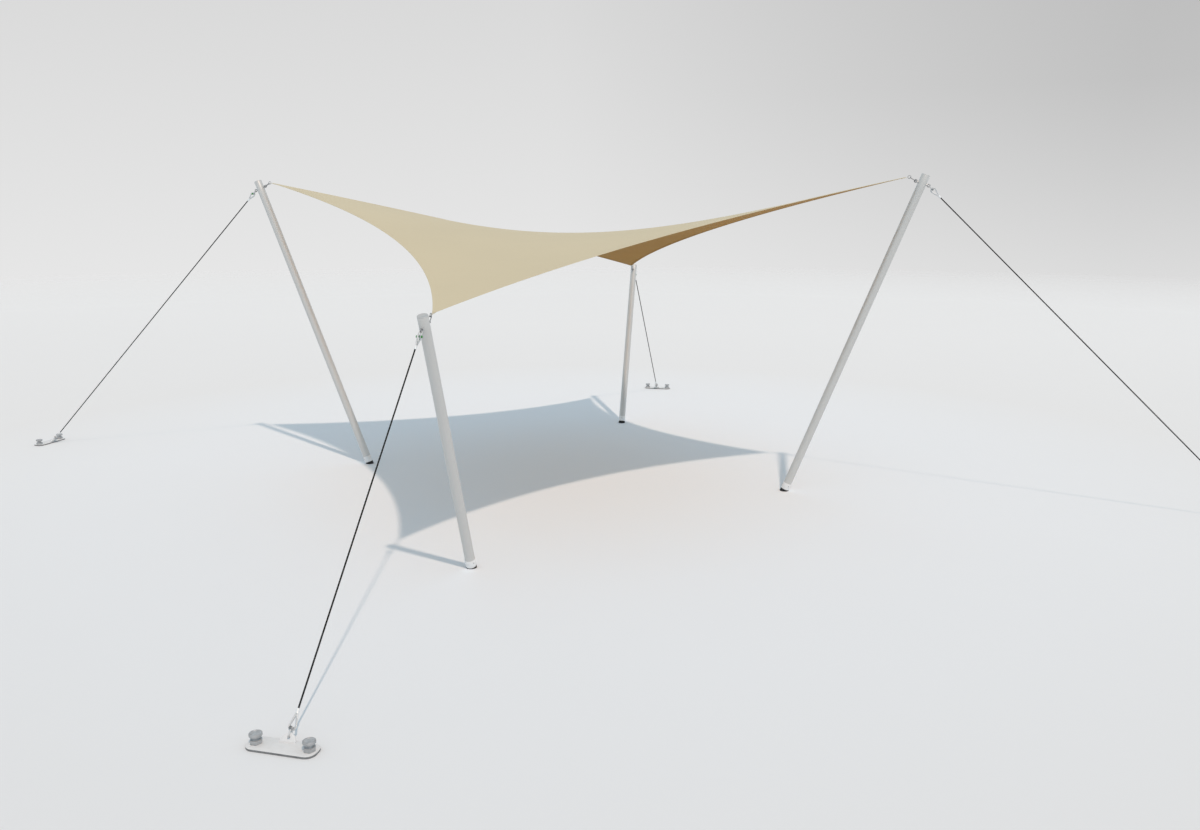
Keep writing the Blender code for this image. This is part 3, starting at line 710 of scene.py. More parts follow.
def finish(name):
    """The named finish, made once from the settings in the sidebar."""
    s = bpy.context.scene
    cloth, mast, rig, ground = s.canopy_sail, s.canopy_masts, s.canopy_rigging, s.canopy_ground
    make = {
        "sail_top": (cloth_finish, "sail_top_cream", tuple(cloth.top_colour),
                     dim(cloth.top_colour, 0.965), 0.05),
        "sail_under": (cloth_finish, "sail_under_bronze", tuple(cloth.under_colour),
                       dim(cloth.under_colour, 0.92), 0.05),
        # Painted shade: the hem's lower face is a darker bronze than the sail's underside, for the shade in
        # the doubled hem and its cord.
        "hem_under": (cloth_finish, "hem_under_bronze", dim(cloth.under_colour, 0.88),
                      dim(cloth.under_colour, 0.80), 0.02),
        "thread": (web_finish, "sail_thread", (0.66, 0.60, 0.45)),
        "webbing": (web_finish, "pale_webbing", tuple(cloth.webbing_colour)),
        "tube": (drawn_finish, "satin_tube", tuple(mast.colour), dim(mast.colour, 0.93), 0.46, 0.2),
        "cap": (turned_finish, "tube_cap", (0.60, 0.60, 0.59), 0.42),
        "collar": (paint_finish, "foot_enamel", tuple(mast.foot_colour), (0.42, 0.42, 0.42), 0.42, 0.70),
        # The pad's near-black is black rubber and also paints the shade in the gap under the tilted collar.
        "pad": (dull_finish, "foot_rubber", (0.012, 0.012, 0.013), (0.022, 0.022, 0.023), 0.72, 60.0),
        "stainless": (bright_finish, "stainless_rod", (0.36, 0.36, 0.36), (0.22, 0.22, 0.22), 0.34),
        "zinc": (bright_finish, "zinc_coat", (0.64, 0.65, 0.66), (0.48, 0.49, 0.50), 0.46, 90.0, 0.4),
        "bolt_paint": (paint_finish, "bolt_lacquer", tuple(rig.bolt_colour), (0.35, 0.36, 0.35), 0.35,
                       0.70, 0.4),
        "sheath": (dull_finish, "cable_sheath", tuple(rig.sheath_colour), dim(rig.sheath_colour, 1.5), 0.72,
                   70.0, 0.0003),
        "strand": (bright_finish, "bare_strand", (0.70, 0.71, 0.71), (0.52, 0.53, 0.54), 0.42, 220.0, 0.3),
        "sleeve": (bright_finish, "pressed_sleeve", (0.84, 0.85, 0.85), (0.72, 0.73, 0.74), 0.42, 60.0, 0.2),
        "plate": (paint_finish, "plate_enamel", tuple(ground.plate_colour), (0.40, 0.40, 0.40), 0.45, 0.69),
        # The plate's sides take a dark grey: a bare cut edge, and partly painted shade along the plate's
        # edge.
        "plate_edge": (steel_finish, "plate_edge", (0.24, 0.245, 0.25), (0.16, 0.165, 0.17), 0.5, 0.3),
        "stake": (steel_finish, "stake_steel", tuple(ground.stake_colour), dim(ground.stake_colour, 0.8),
                  0.5, 0.3),
        "struck": (steel_finish, "struck_steel", (0.52, 0.53, 0.54), (0.40, 0.41, 0.42), 0.42, 0.35, 80.0),
    }
    if name not in FINISHES:
        kind, *values = make[name]
        FINISHES[name] = kind(*values)
    return FINISHES[name]


RULES = {}


def rules(name):
    """The named rule, made once."""
    make = {"net": net_rule, "rope": rope_rule, "run": stitch_rule, "seated": seated_rule}
    if name not in RULES:
        RULES[name] = make[name]()
    return RULES[name]


def piece(name, meshes, finishes, nodes=()):
    """Joins finished meshes into one piece that rides on the frame and stands for its nodes."""
    whole = bmesh.new()
    for me in meshes:
        whole.from_mesh(me)
    me = bpy.data.meshes.new(name)
    whole.to_mesh(me)
    whole.free()
    for one in finishes:
        me.materials.append(finish(one))
    return seat_piece(show(name, me), nodes)


def seat_piece(ob, nodes=()):
    """Puts a finished object on the frame, in the place of its nodes."""
    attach(ob, "root")
    if nodes:
        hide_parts(*nodes)
    return ob


def helper(name, mesh):
    """A shape that a rule copies; it isn't shown and is removed once used."""
    ob = show(name, mesh)
    ob.hide_render = True
    return ob


# Settings in the sidebar

def metres(name, text, value, low, high):
    return FloatProperty(name=name, description=text, default=value, min=low, max=high, unit="LENGTH")


def tone_of(name, text, *value):
    return FloatVectorProperty(name=name, description=text, default=value, size=3, min=0.0, max=1.0,
                               subtype="COLOR")


class SailSettings(PropertyGroup):
    sag: metres("Edge Sag", "Inward sag of each free edge at its middle", 0.609, 0.0, 1.5)
    skew: FloatProperty(name="Edge Skew", description="Shift of the deepest sag toward the low mast, as a "
                        "share of the chord", default=0.032, min=-0.2, max=0.2, subtype="FACTOR")
    cells: IntProperty(name="Cells", description="Cells of the net along each edge", default=44, min=10,
                       max=80)
    thickness: metres("Thickness", "Thickness of the coated cloth", 0.0022, 0.0005, 0.006)
    hem_width: metres("Hem Width", "Width of the folded hem", 0.058, 0.02, 0.12)
    patch_length: metres("Patch Length", "Length of the doubled cloth at each tip", 0.46, 0.1, 1.0)
    stitch_pitch: metres("Stitch Pitch", "Distance from one stitch to the next", 0.014, 0.006, 0.05)
    top_colour: tone_of("Top Colour", "Colour of the sail's upper face", 0.665, 0.582, 0.405)
    under_colour: tone_of("Underside Colour", "Colour of the sail's lower face", 0.385, 0.195, 0.026)
    webbing_colour: tone_of("Webbing Colour", "Colour of the tip webbing", 0.74, 0.71, 0.62)


class MastSettings(PropertyGroup):
    cap_height: metres("Cap Height", "Height of the end cap on the mast", 0.005, 0.001, 0.02)
    lip: metres("Foot Lip", "Rounding of the foot's upper rim", 0.0018, 0.0005, 0.0035)
    colour: tone_of("Mast Colour", "Colour of the mast tube", 0.61, 0.605, 0.59)
    foot_colour: tone_of("Foot Colour", "Colour of the foot's collar", 0.80, 0.80, 0.80)


class RiggingSettings(PropertyGroup):
    cable: metres("Cable Diameter", "Diameter of the sheathed guy cable", 0.014, 0.006, 0.0145)
    strand: metres("Rope Diameter", "Diameter of the bare rope round each eye", 0.0108, 0.006, 0.0115)
    lay: metres("Lay", "Length in which a strand goes once round the cable", 0.085, 0.03, 0.3)
    bolt_colour: tone_of("Bolt Colour", "Lacquer on the guy shackles' bolts", 0.004, 0.22, 0.006)
    sheath_colour: tone_of("Sheath Colour", "Colour of the cable's sheath", 0.007, 0.007, 0.007)


class GroundSettings(PropertyGroup):
    weld: metres("Weld Size", "Size of the weld bead along the lug", 0.007, 0.003, 0.012)
    plate_colour: tone_of("Plate Colour", "Colour of the anchor plates", 0.76, 0.765, 0.77)
    stake_colour: tone_of("Stake Colour", "Colour of the ground stakes", 0.46, 0.47, 0.48)


class StageSettings(PropertyGroup):
    floor_radius: metres("Floor Radius", "Radius of the pale floor", 62.0, 20.0, 200.0)
    floor_colour: tone_of("Floor Colour", "Colour of the floor", 0.785, 0.785, 0.785)
    sun: FloatProperty(name="Key Light", description="Strength of the soft key light", default=1.52,
                       min=0.0, max=10.0)
    fill: FloatProperty(name="Fill Light", description="Strength of the light from all round",
                        default=0.675, min=0.0, max=5.0)


# Operators

def one_stitch(half, wide, rise, crown, belly):
    """A stitch of thread along X, which a rule copies."""
    points = [(-half, 0, 0), (0, wide, rise), (0, 0, crown), (0, -wide, rise), (0, 0, -belly), (half, 0, 0)]
    faces = [(0, 2, 1), (0, 3, 2), (0, 4, 3), (0, 1, 4), (5, 1, 2), (5, 2, 3), (5, 3, 4), (5, 4, 1)]
    return helper("one_stitch", Shape().add(points, faces).mesh("one_stitch"))


def free_edge(s):
    """High tip, pull point and low tip of the free edge in the first quarter of the plan."""
    high, low = layout(HIGH)["tip"], layout(LOW)["tip"]
    high, low = Vector((high.x, 0, high.z)), Vector((0, low.x, low.z))
    inward = Vector((1, 1, 0)).normalized()
    return high, (high + low) / 2 - inward * 2 * s.sag + (low - high) * s.skew, low


def bow(a, pull, b, t):
    """Point at t on the curve from a to b that leans toward pull."""
    return (1 - t) ** 2 * a + 2 * t * (1 - t) * pull + t * t * b


class BuildSail(Operator):
    """Make the sail with its hems, corner patches and stitching"""
    bl_idname = "canopy.sail"
    bl_label = "Sail"

    def execute(self, context):
        s = context.scene.canopy_sail
        high, pull, low = free_edge(s)
        seed = bpy.data.meshes.new("net")
        seed.from_pydata([(0, 0, 0)], [], [])
        net = grow("sail_net", rules("net"), seed, high_tip=tuple(high), low_tip=tuple(low), sag=s.sag,
                   skew=s.skew, cells=s.cells, rounds=SETTLE_ROUNDS, finish=finish("sail_top"))
        self.tree = BVHTree.FromObject(net, context.evaluated_depsgraph_get())
        edges = self.edge_lines(high, pull, low)
        cloth = self.cloth(net.data, s.thickness)
        drop(net)
        cover = piece("sail_membrane", [cloth], ["sail_top", "sail_under"], ["sail"])
        hems, lines = Shape(), []
        for points in edges:
            shape, runs = self.hem(points, s.hem_width)
            hems.join(shape)
            lines += runs
        # The hem's lower faces take the darker bronze that paints shade along the edge.
        hem = piece("sail_hem", [hems.mesh("hem", sharp=60)], ["sail_top", "hem_under"])
        patches = Shape()
        for _, angle, kind, _ in CORNERS:
            shape, runs = self.patch(angle, kind, s)
            patches.join(shape)
            lines += runs
        patch = piece("sail_patches", [patches.mesh("patch", sharp=60)], ["sail_top", "sail_under"])
        one = one_stitch(0.0044, 0.0009, 0.0001, 0.0007, 0.0006)
        sewn = grow("sail_stitching", rules("run"), path_mesh(lines), copy=one, pitch=s.stitch_pitch,
                    scale=1.0, uneven=0.06, seed=4, finish=finish("thread"))
        drop(one)
        seat_piece(sewn)
        tips = (high - low).length
        return {"FINISHED"}

    def cloth(self, mid, thickness):
        """The settled net with its thickness; the lower face takes the second finish."""
        ob = show("cloth", mid)
        wall = ob.modifiers.new("thickness", "SOLIDIFY")
        wall.thickness, wall.offset = thickness, 0.0
        me = applied(ob)
        me.polygons.foreach_set("material_index", [int(p.normal.z < -0.2) for p in me.polygons])
        drop(ob)
        return me

    def on_sail(self, point):
        """Nearest point of the sail's middle, and its normal on the upper side."""
        spot, normal = self.tree.find_nearest(point)[:2]
        return spot, normal if normal.z > 0 else -normal

    def edge_lines(self, high, pull, low):
        """Each free edge as evenly spaced points from its high tip to its low tip."""
        lines = []
        for sx, sy in ((1, 1), (-1, 1), (-1, -1), (1, -1)):
            pts = [bow(high, pull, low, i / 600) * Vector((sx, sy, 1)) for i in range(601)]
            run = np.concatenate([[0], np.cumsum([(b - a).length for a, b in zip(pts, pts[1:])])])
            lines.append([Vector([np.interp(d, run, [p[k] for p in pts]) for k in range(3)])
                          for d in np.linspace(EDGE_INSET, run[-1] - EDGE_INSET, 150)])
        return lines

    def hem(self, points, width):
        """Folded hem with a cord in its edge, and its two rows of stitches above and below."""
        m, shape, rows = len(HEM_ACROSS), Shape(), []
        runs = {k: ([], []) for k in (("in", 1), ("in", -1), ("out", 1), ("out", -1))}
        total = sum((b - a).length for a, b in zip(points, points[1:]))
        open_high, open_low = self.opening(points), self.opening(points[::-1])
        run = 0.0
        for i, p in enumerate(points):
            if i:
                run += (p - points[i - 1]).length
            way = (points[min(i + 1, len(points) - 1)] - points[max(i - 1, 0)]).normalized()
            side = Vector((-way.y, way.x, 0)).normalized()
            if side.dot(Vector((-p.x, -p.y, 0))) < 0:
                side = -side
            room = min(run * open_high, (total - run) * open_low) + EDGE_INSET
            k = min(1.0, room / width)
            up0 = self.on_sail(p + side * EDGE_INSET)[1]
            inward = (self.on_sail(p + side * 0.02)[0] - p).normalized()
            row = []
            for w, h in zip(HEM_ACROSS, HEM_THICK):
                w = w if w <= HEM_FOLD else HEM_FOLD + (w * width / HEM_FULL - HEM_FOLD) * k
                spot, up = (p + inward * w, up0) if w <= EDGE_INSET else self.on_sail(p + side * w)
                row.append((spot, up, h))
            rows.append([a + n * h for a, n, h in row] + [a - n * h for a, n, h in row[:0:-1]])
            if k > STITCHED_FROM:
                for key, column in (("in", -2), ("out", 4)):
                    a, n, h = row[column]
                    if key == "in":
                        a = a * 0.88 + row[column - 1][0] * 0.12
                    for sign in (1, -1):
                        pts, ups = runs[(key, sign)]
                        pts.append(a + n * sign * (h + THREAD_LIFT))
                        ups.append(n * sign)
        n = len(rows[0])
        verts = [v for row in rows for v in row]
        top, low = [], []
        for i in range(len(rows) - 1):
            for j in range(n):
                q = [i * n + j, i * n + (j + 1) % n, (i + 1) * n + (j + 1) % n, (i + 1) * n + j]
                (top if j < m - 1 or j == n - 1 else low).append(q)
        for start in (0, (len(rows) - 1) * n):
            top.append(list(range(start, start + n)))
        for faces, mark in ((top, 0), (low, 1)):
            shape.add(verts, faces, mark, [[(verts[i].x, verts[i].y) for i in f] for f in faces])
        return shape, list(runs.values())

    def opening(self, points):
        """Half the tip's opening as a slope: how fast the hem may widen from the tip."""
        to_mid = Vector((-points[0].x, -points[0].y, 0)).normalized()
        away = points[12] - points[0]
        flat = Vector((away.x, away.y, 0)).normalized()
        return 0.94 * tan(acos(max(-1.0, min(1.0, flat.dot(to_mid)))))

    def patch(self, angle, kind, s):
        """Doubled cloth at a tip, above and below, with a curved end."""
        spin, tip = stand(angle), layout(kind)["tip"]
        high, pull, low = free_edge(s)
        here, there = (high, low) if kind is HIGH else (low, high)
        part = 0.16                 # share of the edge that the cloth reaches
        away = [bow(here, pull, there, part * i / 79) - here for i in range(80)]
        along = [(v.y, abs(v.x)) if kind is HIGH else (v.x, abs(v.y)) for v in away]
        shape, runs, grid = Shape(), [], []
        rows, n, first = 22, 17, 0.012
        for i in range(rows):
            row = []
            for j in range(n):
                w = 2 * j / (n - 1) - 1
                reach = s.patch_length * (0.80 + 0.20 * w * w)
                d = first + (reach - first) * (i / (rows - 1)) ** 1.15
                half = float(np.interp(d, [q[1] for q in along], [q[0] for q in along])) - EDGE_INSET
                row.append(self.on_sail(spin @ Vector((tip.x - d, w * max(half, 0.0005), tip.z))))
            grid.append(row)
        for sign, h, mark in ((1, PATCH_LIFT, 0), (-1, -PATCH_LIFT, 1)):
            verts = [a + b * h for row in grid for a, b in row] + [a for row in grid for a, b in row]
            k = rows * n
            faces = [[i * n + j, (i + 1) * n + j, (i + 1) * n + j + 1, i * n + j + 1]
                     for i in range(rows - 1) for j in range(n - 1)]
            faces += [[k + q for q in reversed(f)] for f in faces]
            rim = list(range(n)) + [i * n + n - 1 for i in range(1, rows)] \
                + [(rows - 1) * n + j for j in range(n - 2, -1, -1)] + [i * n for i in range(rows - 2, 0, -1)]
            faces += [[a, b, b + k, a + k] for a, b in zip(rim, rim[1:] + rim[:1])]
            shape.add(verts, faces, mark, [[(verts[i].x, verts[i].y) for i in f] for f in faces])
            for back in (1, 2):
                line = [grid[rows - 1 - back][j] for j in range(n)]
                runs.append(([a + b * (h + THREAD_LIFT * sign) for a, b in line],
                             [b * sign for a, b in line]))
        return shape, runs


class BuildMasts(Operator):
    """Make the four mast tubes with their end caps"""
    bl_idname = "canopy.masts"
    bl_label = "Masts"

    def execute(self, context):
        s = context.scene.canopy_masts
        r = MAST_D / 2
        for name, spin, at in corners():
            # The tube stands in the collar's floor; its cap closes the upper end above a fine groove.
            low = (FOOT_EDGE + FOOT_D / 2 * sin(at["lean"])) / cos(at["lean"]) + FOOT_FLOOR + GAP
            top, cap = at["length"], s.cap_height
            rows = [low + (top - cap - 0.0012 - low) * i / 24 for i in range(1, 24)]
            profile = [(0, low), (r - 0.0015, low), (r, low + 0.0015)] + [(r, z) for z in rows] + [
                (r, top - cap - 0.0016), (r - 0.0007, top - cap - 0.0007), (r - 0.0014, top - cap - 0.0006),
                (r - 0.0014, top - cap), (r - 0.0008, top - cap + 0.0001), (r - 0.0002, top - cap + 0.0008),
                (r - 0.0002, top - 0.0016), (r - 0.0008, top - 0.0005), (r - 0.0019, top), (r - 0.006, top),
                (r - 0.0072, top - 0.0007), (0.006, top - 0.0009), (0.005, top - 0.0016), (0, top - 0.0018)]
            marks = [0] * (len(rows) + 6) + [1] * (len(profile) - 1 - len(rows) - 6)
            tube = lathe(profile, 72, marks=marks)
            place = spin @ seat(Vector((at["rb"], 0, 0)), turn=at["lean"])
            piece("mast_tube_" + name, [tube.mesh("tube", place)], ["tube", "cap"], ["mast_" + name])
        return {"FINISHED"}


class BuildFeet(Operator):
    """Make the white collars and the dark wedge pads that the masts stand in; the pads' near-black also
    paints the shade under the collars
    """
    bl_idname = "canopy.feet"
    bl_label = "Mast Feet"

    def execute(self, context):
        lip = context.scene.canopy_masts.lip
        r, inner = FOOT_D / 2, MAST_D / 2 + GAP
        for name, spin, at in corners():
            lean = at["lean"]
            s0 = (FOOT_EDGE + r * sin(lean)) / cos(lean)
            top, floor = s0 + FOOT_SKIRT, s0 + FOOT_FLOOR
            profile = [(0, floor), (inner, floor), (inner, top - lip * 0.5), (inner + lip * 0.4, top),
                       (r - lip, top), (r - lip * 0.3, top - lip * 0.3), (r, top - lip),
                       (r, s0 + 0.004), (r - 0.0009, s0 + 0.0012), (r - 0.003, s0 + 0.0002), (0, s0 + 0.0002)]
            shape = lathe(profile, 72)
            # The pad is a wedge: each of its rings lies a share of the way up from the ground to the collar.
            steps, verts, faces = 72, [], []
            for i in range(steps):
                a = 2 * pi * i / steps
                for inset, share in ((0.0026, 1.0), (0.0012, 0.94), (0.0006, 0.55), (0.0001, 0.06),
                                     (0.0008, 0.0)):
                    x, y = (r - inset) * cos(a), (r - inset) * sin(a)
                    verts.append((x, y, x * tan(lean) + (s0 - x * tan(lean)) * share))
            for i in range(steps):
                k = (i + 1) % steps
                faces += [[i * 5 + j, k * 5 + j, k * 5 + j + 1, i * 5 + j + 1] for j in range(4)]
            faces += [[i * 5 for i in range(steps)], [i * 5 + 4 for i in range(steps)]]
            # Mark 1 is the near-black pad: black rubber, which also paints the shade in the gap under the
            # collar.
            shape.add(verts, faces, 1)
            screw = lathe([(0, 0.0012), (0.0034, 0.0012), (0.0036, 0.0034), (0.0058, 0.0034),
                           (0.0064, 0.0028), (0.0064, -0.003), (0, -0.003)], 24, mark=2)
            for turn in (60, 180, 300):
                m = Matrix.Rotation(radians(turn), 4, "Z") @ Matrix.Translation((r - 0.0024, 0, s0 + 0.055)) \
                    @ Matrix.Rotation(pi / 2, 4, "Y")
                shape.join(screw, m)
            place = spin @ seat(Vector((at["rb"], 0, 0)), turn=lean)
            piece("mast_foot_" + name, [shape.mesh("foot", place, 34)], ["collar", "pad", "stainless"],
                  ["foot_" + name])
        return {"FINISHED"}


class BuildEyeBolts(Operator):
    """Make the through bolts with an eye at both ends, and seat their washers and nuts"""
    bl_idname = "canopy.eye_bolts"
    bl_label = "Eye Bolts"

    def execute(self, context):
        rod, eye, w = BOLT_D / 2, EYE_WIRE / 2, MAST_D / 2
        across = Matrix.Rotation(pi / 2, 4, "Y")
        reach = EYE_OUT - EYE_R
        profile = [(0, reach)] + [(rod * k, reach - 0.0002 - 0.0015 * (k > 0.8)) for k in (0.7, 1.0)] + [
            (rod, w + 0.003), (rod, 0), (rod, -w - 0.003), (rod, -reach + 0.0017),
            (rod * 0.7, -reach + 0.0002), (0, -reach)]
        bolt = Shape().join(lathe(profile, 28), across)
        for side in (1, -1):
            bolt.join(sweep([(side * EYE_OUT + x, 0, z) for x, z in circle(EYE_R, 40)],
                            circle(eye, 14), closed=True))
        washer = lathe([(rod + 0.0004, 0), (0.0146, 0), (0.015, 0.0004), (0.015, 0.0016),
                        (0.0146, 0.002), (rod + 0.0004, 0.002)], 36, loop=True)
        nut = hex_nut(0.0225, 0.0055, BOLT_D + 0.0004)
        hub = Shape().join(washer).join(nut, Matrix.Translation((0, 0, 0.0021)))
        hub = helper("washer_and_nut", hub.mesh("washer_and_nut"))
        for name, spin, at in corners():
            spots = [spin @ (at["bolt"] + at["out"] * side * (w + GAP)) for side in (1, -1)]
            lifts = [spin @ (at["out"] * side) for side in (1, -1)]
            nuts = grow("bolt_nuts_" + name, rules("seated"), path_mesh([(spots, lifts)]), copy=hub,
                        scale=1.0, finish=finish("zinc"))
            seat_piece(nuts)
            place = spin @ seat(at["bolt"], turn=at["lean"])
            piece("eye_bolt_" + name, [bolt.mesh("bolt", place)], ["stainless"],
                  ["eyebolt_" + name])
        drop(hub)
        return {"FINISHED"}


def shackle(wire, length, half, pin, ear, reach):
    """Shackle with its crown on the origin and its bolt along Y at z = length; the bolt is mark 1."""
    arc = [(0.0, -half * cos(pi * i / 20), half - half * sin(pi * i / 20)) for i in range(21)]
    legs = [length * 0.86 - (length * 0.86 - half) * i / 8 for i in range(9)]
    path = [(0, -half, length)] + [(0, -half, z) for z in legs[:-1]] + arc + [
        (0, half, z) for z in legs[-2::-1]] + [(0, half, length)]
    body = sweep(path, circle(wire / 2, 16), lift=(1, 0, 0))
    e0, e1, soft = half - wire / 2, half + wire / 2, wire * 0.16
    boss = [(pin / 2 + 0.0002, e0), (ear / 2 - soft, e0), (ear / 2, e0 + soft), (ear / 2, e1 - soft),
            (ear / 2 - soft, e1), (pin / 2 + 0.0002, e1)]
    level = Matrix.Translation((0, 0, length)) @ Matrix.Rotation(-pi / 2, 4, "X")
    for side in (1, -1):
        body.join(lathe([(r, side * y) for r, y in boss], 32, loop=True), level)
    far, head, nut = reach / 2, ear * 0.46, (reach / 2 - e1) * 0.72
    rod = [(0, far), (head * 0.72, far), (head * 0.93, far - 0.0008), (head, far - 0.0022),
           (head, e1 + 0.0003), (pin / 2, e1 + 0.0003), (pin / 2, -e1 - nut), (pin / 2 * 0.9, -far + 0.0012),
           (pin / 2 * 0.72, -far), (0, -far)]
    bolt = Shape().join(lathe(rod, 28, mark=1), level)
    bolt.join(hex_nut(head * 1.9, nut, pin + 0.0002, mark=1),
              level @ Matrix.Translation((0, 0, -e1 - nut - 0.0002)))
    groove = [(head + 0.0003, far - 0.0042), (head + 0.0003, far - 0.0036), (head - 0.0002, far - 0.0032),
              (head - 0.0002, far - 0.0046)]
    bolt.join(lathe(groove, 28, loop=True, mark=1), level)
    return body.join(bolt)


class BuildShackles(Operator):
    """Make the shackles at the sail, at the guy cables' heads and at the anchor plates"""
    bl_idname = "canopy.shackles"
    bl_label = "Shackles"

    def execute(self, context):
        guy, link = shackle(**GUY_LINK), shackle(**SAIL_LINK)
        across = Matrix.Rotation(pi / 2, 4, "Z")
        for name, spin, at in corners():
            piece("guy_link_" + name, [guy.mesh("link", spin @ seat(at["crown"], at["d"]))],
                  ["zinc", "bolt_paint" if at["green"] else "stainless"], ["guy_shackle_" + name])
            piece("anchor_link_" + name, [guy.mesh("link", spin @ seat(at["low_crown"], -at["d"]) @ across)],
                  ["zinc", "stainless"], ["anchor_shackle_" + name])
            piece("sail_link_" + name, [link.mesh("link", spin @ seat(at["link_crown"], -at["pull"]))],
                  ["stainless", "stainless"], ["sail_shackle_" + name])
        return {"FINISHED"}


class BuildTips(Operator):
    """Make the rings and the webbing tongues that hold the sail's tips"""
    bl_idname = "canopy.tips"
    bl_label = "Rings and Tongues"

    def execute(self, context):
        hx, end = RING_R + 0.0014, TIP_OUT + TAB_UNDER
        turns = [pi * 0.62 + pi * 0.76 * i / 14 for i in range(15)]
        nose = [(RING_R + 0.010 * cos(a), 0.010 * sin(a)) for a in turns]
        outer = nose + [(TIP_OUT, -TAB_W / 2 * 0.93), (end - 0.004, -TAB_W / 2), (end, -TAB_W / 2 + 0.004),
                        (end, TAB_W / 2 - 0.004), (end - 0.004, TAB_W / 2), (TIP_OUT, TAB_W / 2 * 0.93)]
        rim = [(0.0046, 0.0026), (0.0052, 0.0031), (0.0062, 0.0031), (0.0069, 0.0026), (0.0071, 0.0014)]
        eyelet = lathe(rim + [(r, -z) for r, z in reversed(rim)], 32, loop=True, mark=1)
        tongue = cut_plate(outer, [circle(0.0052, 24, hx)], TAB_T, 0.0012)
        tongue.join(eyelet, Matrix.Translation((hx, 0, 0)))
        one = one_stitch(0.0023, 0.0006, 0, 0.0006, 0.0004)
        ring = sweep([(x, 0, z) for x, z in circle(RING_R, 56)], circle(RING_WIRE / 2, 14), closed=True)
        a, b, w = 0.034, end - 0.005, TAB_W / 2 - 0.004
        for name, spin, at in corners():
            place = spin @ Matrix.Translation(at["ring"]) @ Matrix.Rotation(pi - at["slope"], 4, "Y")
            piece("tip_ring_" + name, [ring.mesh("ring", spin @ Matrix.Translation(at["ring"]))],
                  ["stainless"], ["sail_ring_" + name])
            piece("tip_tongue_" + name, [tongue.mesh("tongue", place)], ["webbing", "stainless"],
                  ["corner_tab_" + name])
            lines = []
            for side in (1, -1):
                up = (place.to_3x3() @ Vector((0, 0, side))).normalized()
                for p, q in (((a, -w), (b, -w)), ((b, -w), (b, w)), ((b, w), (a, w)), ((a, w), (a, -w)),
                             ((a, -w), (b, w)), ((a, w), (b, -w))):
                    pts = [place @ Vector((p[0] + (q[0] - p[0]) * t, p[1] + (q[1] - p[1]) * t,
                                           side * (TAB_T / 2 + THREAD_LIFT))) for t in (0, 0.5, 1)]
                    lines.append((pts, [up] * 3))
            sewn = grow("tongue_stitching_" + name, rules("run"), path_mesh(lines), copy=one, pitch=0.0055,
                        scale=1.0, uneven=0.05, seed=7, finish=finish("thread"))
            seat_piece(sewn)
        drop(one)
        return {"FINISHED"}


def teardrop(radius, x, y, n, rise=0.0):
    """Loop round the origin with its two legs drawn together at (+-x, y), then straight on by rise."""
    span = acos(radius / hypot(x, y))
    a = atan2(y, x) - span
    arc = [a - (2 * a + pi) * i / n for i in range(n + 1)]
    pts = [Vector((radius * cos(t), radius * sin(t))) for t in arc]
    legs = [Vector((x, y)).lerp(pts[0], i / 8) for i in range(8)]
    back = [Vector((-x, y)).lerp(pts[-1], i / 8) for i in range(7, -1, -1)]
    start = [Vector((x * 0.8, y + rise))] if rise else []
    stop = [Vector((-x * 0.8, y + rise))] if rise else []
    return start + legs + pts + back + stop


